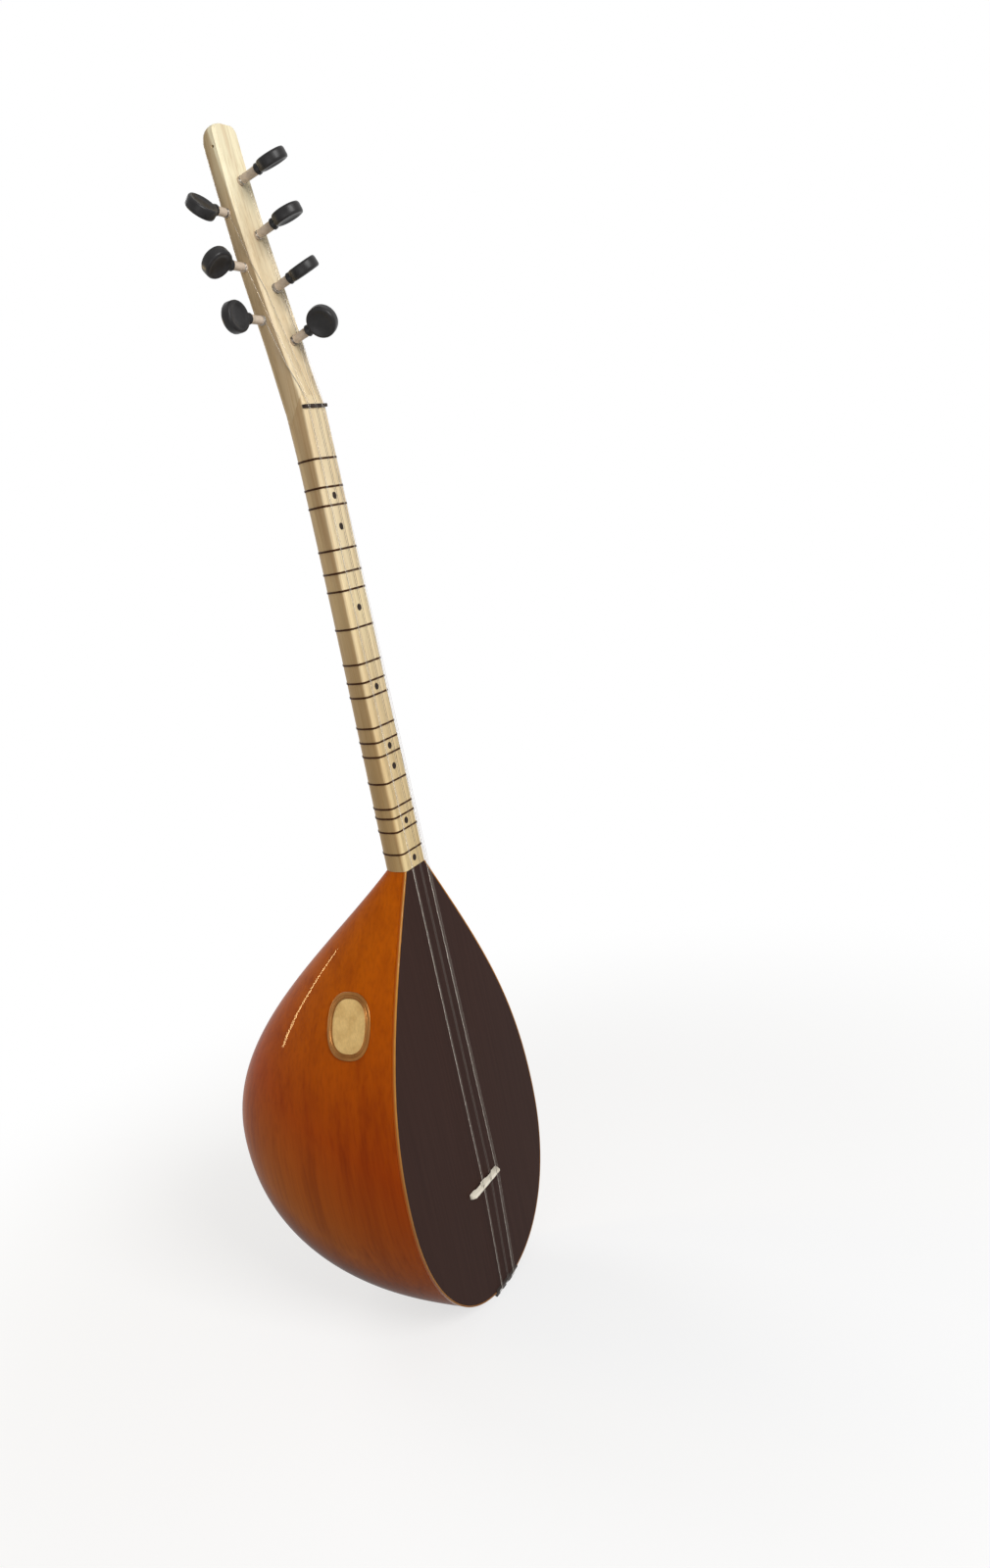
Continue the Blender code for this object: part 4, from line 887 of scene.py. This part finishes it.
class BAGLAMA_OT_headstock(BaglamaStep):
    """Shape the headstock and ream its peg holes"""

    bl_idname = "baglama.headstock"
    bl_label = "Headstock"

    def make(self):
        head = sizes().head
        places = [-0.036, -0.028, -0.020, -0.012, -0.005, 0.0, 0.005, 0.009]
        places += [0.009 + (head - 0.0236) * i / 44 for i in range(1, 45)]
        tip = places[-1]
        places += [tip + (head - tip) * math.sin(math.pi / 2 * i / 14) for i in range(1, 14)]
        places.append(head - 1e-5)
        bm = cut_at_scarf(stick_shell(places), True)
        cutters = []
        for peg in map(Peg, PEGS):
            ends = (-peg.seat - PAST_THE_WOOD, PAST_THE_WOOD)
            cutters.append(rod(*map(peg.at, ends), *(peg.radius(end) + PEG_HOLE_EASE for end in ends), 40))
        place, back = stick_frame(HANGING_HOLE_UP)
        middle, reach = place + back * HANGING_HOLE_BACK, Vector((0.03, 0.0, 0.0))
        cutters.append(rod(middle - reach, middle + reach, HANGING_HOLE_RADIUS, HANGING_HOLE_RADIUS, 20))
        object_of("shaped_headstock", carved(bm, cutters), pale_wood_finish("headstock_wood", HEAD_ANGLE),
                  ["headstock"], "pale_wood", 27)


def laid_flat(place):
    """Turns local Z to the front, at a place."""
    return Matrix.Translation(place) @ Matrix.Rotation(math.pi / 2, 4, "X")


class BAGLAMA_OT_pegs(BaglamaStep):
    """Turn the seven pegs"""

    bl_idname = "baglama.pegs"
    bl_label = "Pegs"

    def make(self):
        black = satin_black_finish("black_plastic", colours().black)
        ivory = marked_finish("ivory_peg", colours().ivory, 0.34, EVEN, 180.0, 4.0,
                              ((0.30, 0.82), (0.55, 1.0), (0.80, 1.10)), 0.06)
        rim = sizes().thumb_piece / 2
        for peg in map(Peg, PEGS):
            tip, collar = 0.001 - peg.seat, peg.exposed
            profile = [(0.0, tip), (peg.radius(tip) - 0.0004, tip), (peg.radius(tip), tip + 0.0004),
                       (peg.radius(collar), collar + 0.0005), (0.0, collar + 0.0005)]
            object_of(f"{peg.name}_turned_shaft", turned(profile, 40, peg.matrix), ivory,
                      [f"{peg.name}_shaft"], "ivory_peg", body=peg.name)
            neck_part = turned([(radius, collar + up) for radius, up in COLLAR], 36, peg.matrix)
            outer = [(share * rim, THUMB_HALF + up) for share, up in DISH]
            both_faces = outer + [(reach, -height) for reach, height in reversed(outer)]
            disc = turned(both_faces, 56, peg.matrix @ laid_flat((0.0, 0.0, collar + 0.0038 + rim)))
            object_of(f"{peg.name}_thumb_piece", joined([neck_part, disc]), black,
                      [f"{peg.name}_head"], "black_plastic", 40, peg.name)


class BAGLAMA_OT_nut_and_bridge(BaglamaStep):
    """Finish the nut, the bridge, the tail saddle and the string holder"""

    bl_idname = "baglama.nut_and_bridge"
    bl_label = "Nut, bridge and tail"

    def make(self):
        nut_black = satin_black_finish("nut_black", colours().ebony, 0.30, 0.10)
        bridge_wood = marked_finish("bridge_wood", colours().bridge, 0.50, (0.06, 1.0, 1.0), 900.0, 3.0,
                                    ((0.30, 0.94), (0.60, 1.0)), 0.10)
        for name, finish, slot, ease in (
                ("nut", nut_black, "black_plastic", 0.00012),
                ("bridge", bridge_wood, "bridge_wood", 0.00015),
                ("tail_saddle", dark_wood_finish("saddle_wood"), "dark_wood", 0.00020),
                ("string_comb", dark_wood_finish("comb_wood"), "dark_wood", 0.00025)):
            bm = bmesh.new()
            bm.from_mesh(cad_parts[name].data)
            bmesh.ops.remove_doubles(bm, verts=bm.verts, dist=1e-6)
            bmesh.ops.dissolve_limit(bm, angle_limit=0.01, verts=bm.verts, edges=bm.edges)
            sharp = [edge for edge in bm.edges if edge.is_manifold and edge.calc_face_angle() > 0.6]
            bmesh.ops.bevel(bm, geom=sharp, offset=ease, affect="EDGES", segments=2, profile=0.5,
                            material=-1, clamp_overlap=True)
            object_of(f"eased_{name}", bm, finish, [name], slot, 30)


def string_route(radius, peg, course, place):
    """A string's points from its peg to the string holder, as in the frame."""
    line, bridge, clear = nut_line(), bridge_line(), GLUE_GAP + radius
    shaft, wrap = peg.radius(WRAP_UP), peg.at(WRAP_UP)
    at_nut, at_bridge, at_tail = (course * apart + place * STRING_STEP for apart in
                                  (COURSES_AT_NUT, COURSES_AT_BRIDGE, COURSES_AT_TAIL))
    if peg.side:
        corner = HEAD_CORNER
        first, second = (stick_sizes(peg.up / 2)[0] - corner) + at_nut, corner * math.sqrt(2)
        third = math.hypot(WRAP_UP, SIDE_PEG_BACK - shaft - corner)
        run = (peg.up - NUT_THICKNESS) / (first + second + third)
        up_1 = NUT_THICKNESS + run * first
        up_2 = up_1 + run * second
        place_1, back_1 = stick_frame(up_1)
        place_2, back_2 = stick_frame(up_2)
        edge_1 = place_1 - Vector((stick_sizes(up_1)[0] - corner, 0, 0)) - back_1 * 2 * clear
        edge_2 = place_2 - Vector((stick_sizes(up_2)[0] + 2 * clear, 0, 0)) + back_2 * corner
        points = [wrap + peg.front * (shaft + radius), edge_2, edge_1]
    else:
        points = [wrap + Vector((shaft + radius, 0.0, 0.0))]
    edge, over = tail_edge(at_tail), -SADDLE_TOP - clear
    return points + [Vector(point) for point in (
        (at_nut, -UP_AT_NUT, line + NUT_THICKNESS), (at_nut, -UP_AT_NUT, line),
        (at_bridge, -UP_AT_BRIDGE, bridge + HALF_CREST), (at_bridge, -UP_AT_BRIDGE, bridge - HALF_CREST),
        (at_tail, over, 0.65 * SADDLE_DEPTH + edge / 2), (at_tail, over, edge + SADDLE_DEPTH / 4),
        (at_tail, EDGE_STEP, -2 * clear),
        (at_tail, rim_front() + 0.0006 - clear, -GLUE_GAP - 0.6 * COMB_THICKNESS))]


def winding(radius, peg):
    """The turns of a string round its peg, from where the taut string meets it to the wood."""
    start = peg.front if peg.side else Vector(ACROSS)
    start = (start - start.dot(peg.axis) * peg.axis).normalized()
    turns, steps = 5.0, 20
    pitch = max(2 * radius * 1.15, 0.0003)
    route = []
    for i in range(int(turns * steps) + 1):
        turn = i / steps
        height = WRAP_UP - pitch * turn
        spoke = Matrix.Rotation(-2 * math.pi * turn, 3, peg.axis) @ start
        route.append(peg.at(height) + spoke * (peg.radius(height) + radius))
    return route


class BAGLAMA_OT_strings(BaglamaStep):
    """String the instrument and wind each string on its peg"""

    bl_idname = "baglama.strings"
    bl_label = "Strings"

    def make(self):
        shades = colours()
        wound = wire_finish("wound_steel", shades.steel, wound=True)
        plain = wire_finish("plain_steel", shades.steel)
        dull = wire_finish("dull_steel", shades.dull_steel)
        for number, (diameter, peg_name, course, place) in enumerate(STRING_PLANS, 1):
            name, radius, peg = f"string_{number}", diameter / 2, Peg(peg_name)
            finish = wound if diameter > WOUND_FROM else (plain if course else dull)
            cord_curve(f"taut_{name}", [string_route(radius, peg, course, place)], radius, finish,
                       [name], "string_steel")
            cord_curve(f"winding_of_{name}", [winding(radius, peg)], radius, finish, [],
                       "string_steel", peg_name)


class BAGLAMA_OT_frets(BaglamaStep):
    """Tie the frets round the neck"""

    bl_idname = "baglama.frets"
    bl_label = "Frets"

    def make(self):
        finish = marked_finish("fret_line", colours().line, 0.50, EVEN, 260.0, 3.0,
                               ((0.3, 0.65), (0.7, 1.3)), specular=0.06)
        radius = sizes().fret_line / 2
        for number, cents in enumerate(FRET_CENTS, 1):
            ring = stick_outline(-sizes().scale * (1 - 2 ** (-cents / 1200)), radius)
            rings = [[point + Vector((0.0, 0.0, strand * 1.9 * radius)) for point in ring]
                     for strand in (-1, 0, 1)]
            name = f"fret_{number:02d}"
            cord_curve(f"tied_{name}", rings, radius, finish, [name], "fret_line", rings=True)


class BAGLAMA_OT_dots(BaglamaStep):
    """Set the black dots in the front of the neck"""

    bl_idname = "baglama.dots"
    bl_label = "Dots"

    def make(self):
        finish = satin_black_finish("dot_black", colours().ebony, 0.40, 0.06)
        for number in range(1, 9):
            low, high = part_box(f"dot_{number}")
            middle = (low + high) / 2
            radius = (high.x - low.x) / 2
            profile = [(0.0, -0.0010), (radius, -0.0010), (radius, 0.00002), (0.96 * radius, 0.00012),
                       (0.7 * radius, 0.00018), (0.0, 0.00020)]
            place = laid_flat((middle.x, low.y, middle.z))
            object_of(f"set_dot_{number}", turned(profile, 32, place), finish,
                      [f"dot_{number}"], "black_plastic")


def flank_point(down, back, lift):
    """A point at a height above the bowl's left flank."""
    def on_bowl(d, b):
        share = (b - rim_front()) / (depth_at(d) - rim_front())
        return bowl_surface(d, math.asin(share ** (SECTION_ROUNDNESS / 2)))

    step = 0.001
    along = on_bowl(down - step, back) - on_bowl(down + step, back)
    inward = on_bowl(down, back + step) - on_bowl(down, back - step)
    return on_bowl(down, back) + along.cross(inward).normalized() * lift


def oval(reach, lift, turn):
    """A point of the badge, from its reach back and down, its height and its turn."""
    down = BADGE_DOWN + reach[1] * squared(math.cos(turn), BADGE_ROUNDNESS)
    back = BADGE_BACK + reach[0] * squared(math.sin(turn), BADGE_ROUNDNESS)
    return flank_point(down, back, lift)


class BAGLAMA_OT_badge(BaglamaStep):
    """Set the oval badge, left bare, on the bowl's flank"""

    bl_idname = "baglama.badge"
    bl_label = "Badge"

    def make(self):
        shades = colours()

        def rim(u, v):
            share, lift = RIM_SECTION[round(v * len(RIM_SECTION)) % len(RIM_SECTION)]
            reach = [a + (b - a) * share for a, b in zip(BADGE_OUTER, BADGE_INNER)]
            return oval(reach, lift, 2 * math.pi * u)

        bm = draped_grid(72, len(RIM_SECTION), rim)
        bmesh.ops.recalc_face_normals(bm, faces=bm.faces)
        object_of("oval_rim", bm, badge_finish("bronze_rim", shades.bronze, 0.34), ["badge_rim"],
                  "bronze_rim")

        def plaque(u, v):
            share = min(v * 1.08, 1.0)
            reach = [(b - 0.0002) * share for b in BADGE_INNER]
            lift = 0.00075 - 0.0002 * share ** 4 if v < 1 else 0.00005
            return oval(reach, lift, 2 * math.pi * u)

        bm = closed(draped_grid(72, 14, plaque))
        object_of("bare_plaque", bm, badge_finish("gold_plaque", shades.gold, 0.36), ["badge_plaque"],
                  "gold_plaque")


class BAGLAMA_OT_brace(BaglamaStep):
    """Give the brace inside its bare wood"""

    bl_idname = "baglama.brace"
    bl_label = "Brace"

    def make(self):
        finish = Finish("brace_wood", (0.62, 0.45, 0.26), 0.6)
        fine = finish.noise((0.05, 1.0, 1.0), 500.0, 3.0)
        wood = finish.coloured(finish.ramp(fine, [(0.3, (0.48, 0.32, 0.17)), (0.6, (0.64, 0.47, 0.28))]))
        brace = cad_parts["soundboard_brace"]
        brace.data.materials.clear()
        brace.data.materials.append(wood)


def lamp(name, towards, distance, width, height, level, centre=(0.0, 0.06, 0.50), along=ACROSS,
         shade=WHITE):
    """An area light whose level is what a white surface that faces it would show."""
    light = bpy.data.lights.new(name, "AREA")
    light.color = shade
    light.shape = "RECTANGLE"
    light.size, light.size_y = width, height
    light.energy = level * (math.pi * distance) ** 2
    item = in_scene(name, light)
    back = Vector(towards).normalized()
    side = Vector(along)
    side = (side - side.dot(back) * back).normalized()
    turn = Matrix((side, back.cross(side), back)).transposed().to_4x4()
    item.matrix_world = Matrix.Translation(Vector(centre) + back * distance) @ turn


def seen_directly(tree):
    """1 for rays from the camera, in a mirror and through glass, and 0 for other light."""
    rays = tree.nodes.new("ShaderNodeLightPath").outputs
    seen = rays["Is Camera Ray"]
    for kind in ("Is Glossy Ray", "Is Transmission Ray"):
        seen = node_in(tree, "ShaderNodeMath", {0: seen, 1: rays[kind]}, operation="MAXIMUM").outputs[0]
    return seen


class BAGLAMA_OT_stage(BaglamaStep):
    """Set the camera, the pale floor and the soft light"""

    bl_idname = "baglama.stage"
    bl_label = "Stage"

    def make(self):
        scene = bpy.context.scene
        scene.view_settings.view_transform = "Standard"
        self.add_camera(scene)
        self.add_floor()
        scene.world = bpy.data.worlds.new("studio")
        scene.world.use_nodes = True
        tree = scene.world.node_tree
        sky = tree.nodes["Background"]
        sky.inputs["Color"].default_value = (*WHITE, 1.0)
        level = node_in(tree, "ShaderNodeMapRange", {"Value": seen_directly(tree), "To Min": SKY_LEVEL})
        tree.links.new(level.outputs[0], sky.inputs["Strength"])
        lamp("key", (-0.30, -0.85, 0.42), 2.6, 1.2, 1.2, 0.80, (0.0, 0.06, 0.60))
        lamp("fill", (-0.95, -0.25, 0.05), 1.6, 1.0, 1.0, 0.20, (0.0, 0.10, 0.20))
        lamp("back_light", (0.35, 0.80, 0.45), 3.2, 1.4, 1.4, 0.25)
        lamp("streak", (-0.167, 1.898, 0.435), 1.954, 0.614, 0.06, 0.16, (-0.056, 0.102, 0.318),
             (0.414, 0.0, 0.454), (1.0, 0.74, 0.34))

    def add_camera(self, scene):
        data = bpy.data.cameras.new("camera")
        data.sensor_width = CAMERA_SENSOR
        data.lens = CAMERA_LENS
        camera = in_scene("camera", data)
        forward = Vector(CAMERA_FORWARD).normalized()
        up = Vector(CAMERA_RIGHT).cross(forward).normalized()
        turn = Matrix((forward.cross(up), up, -forward)).transposed().to_4x4()
        camera.matrix_world = Matrix.Translation(CAMERA_PLACE) @ turn
        scene.camera = camera

    def add_floor(self):
        bm = bmesh.new()
        bmesh.ops.create_circle(bm, cap_ends=True, segments=96, radius=FLOOR_RADIUS)
        bmesh.ops.translate(bm, verts=bm.verts, vec=(0.0, 0.0, CAD_BOX[0][2] - FLOOR_DROP))
        floor = in_scene("floor", mesh_of("floor", bm))
        finish = Finish("pale_floor", (0.35, 0.35, 0.35), 0.9, specular=0.0)
        seen = seen_directly(finish.tree)
        reach = finish.node("ShaderNodeVectorMath", {0: finish.place}, operation="LENGTH").outputs["Value"]
        far = finish.mapped(reach, FADE_FROM, FADE_TO, steps="SMOOTHSTEP")
        lift = finish.worked_out(seen, "MULTIPLY", FLOOR_LIFT)
        near = finish.node("ShaderNodeEmission", {"Strength": lift}).outputs[0]
        near = finish.node("ShaderNodeAddShader", {0: finish.shader.outputs[0], 1: near}).outputs[0]
        white = finish.node("ShaderNodeEmission").outputs[0]
        share = finish.worked_out(seen, "MULTIPLY", far)
        mixed = finish.node("ShaderNodeMixShader", {0: share, 1: near, 2: white}).outputs[0]
        finish.tree.links.new(mixed, finish.tree.nodes["Material Output"].inputs["Surface"])
        floor.data.materials.append(finish.material)


class BAGLAMA_PT_panel(bpy.types.Panel):
    """Lists the steps, the sizes and the colours"""

    bl_label = "Baglama"
    bl_space_type = "VIEW_3D"
    bl_region_type = "UI"
    bl_category = "Baglama"

    def draw(self, context):
        for step in STEPS:
            self.layout.operator(step.bl_idname)
        for settings in (sizes(), colours()):
            box = self.layout.box()
            for name in settings.bl_rna.properties.keys():
                if name not in ("rna_type", "name"):
                    box.prop(settings, name)


STEPS = (BAGLAMA_OT_stage, BAGLAMA_OT_bowl, BAGLAMA_OT_soundboard, BAGLAMA_OT_binding, BAGLAMA_OT_brace,
         BAGLAMA_OT_neck, BAGLAMA_OT_headstock, BAGLAMA_OT_nut_and_bridge, BAGLAMA_OT_dots,
         BAGLAMA_OT_frets, BAGLAMA_OT_pegs, BAGLAMA_OT_strings, BAGLAMA_OT_badge)
CLASSES = (BaglamaSizes, BaglamaColours, *STEPS, BAGLAMA_PT_panel)


def register():
    for item in CLASSES:
        bpy.utils.register_class(item)
    bpy.types.Scene.baglama_sizes = bpy.props.PointerProperty(type=BaglamaSizes)
    bpy.types.Scene.baglama_colours = bpy.props.PointerProperty(type=BaglamaColours)


def unregister():
    del bpy.types.Scene.baglama_colours
    del bpy.types.Scene.baglama_sizes
    for item in reversed(CLASSES):
        bpy.utils.unregister_class(item)


def main():
    register()
    for step in STEPS:
        getattr(bpy.ops.baglama, step.bl_idname.split(".")[1])()


if __name__ == "__main__":
    main()
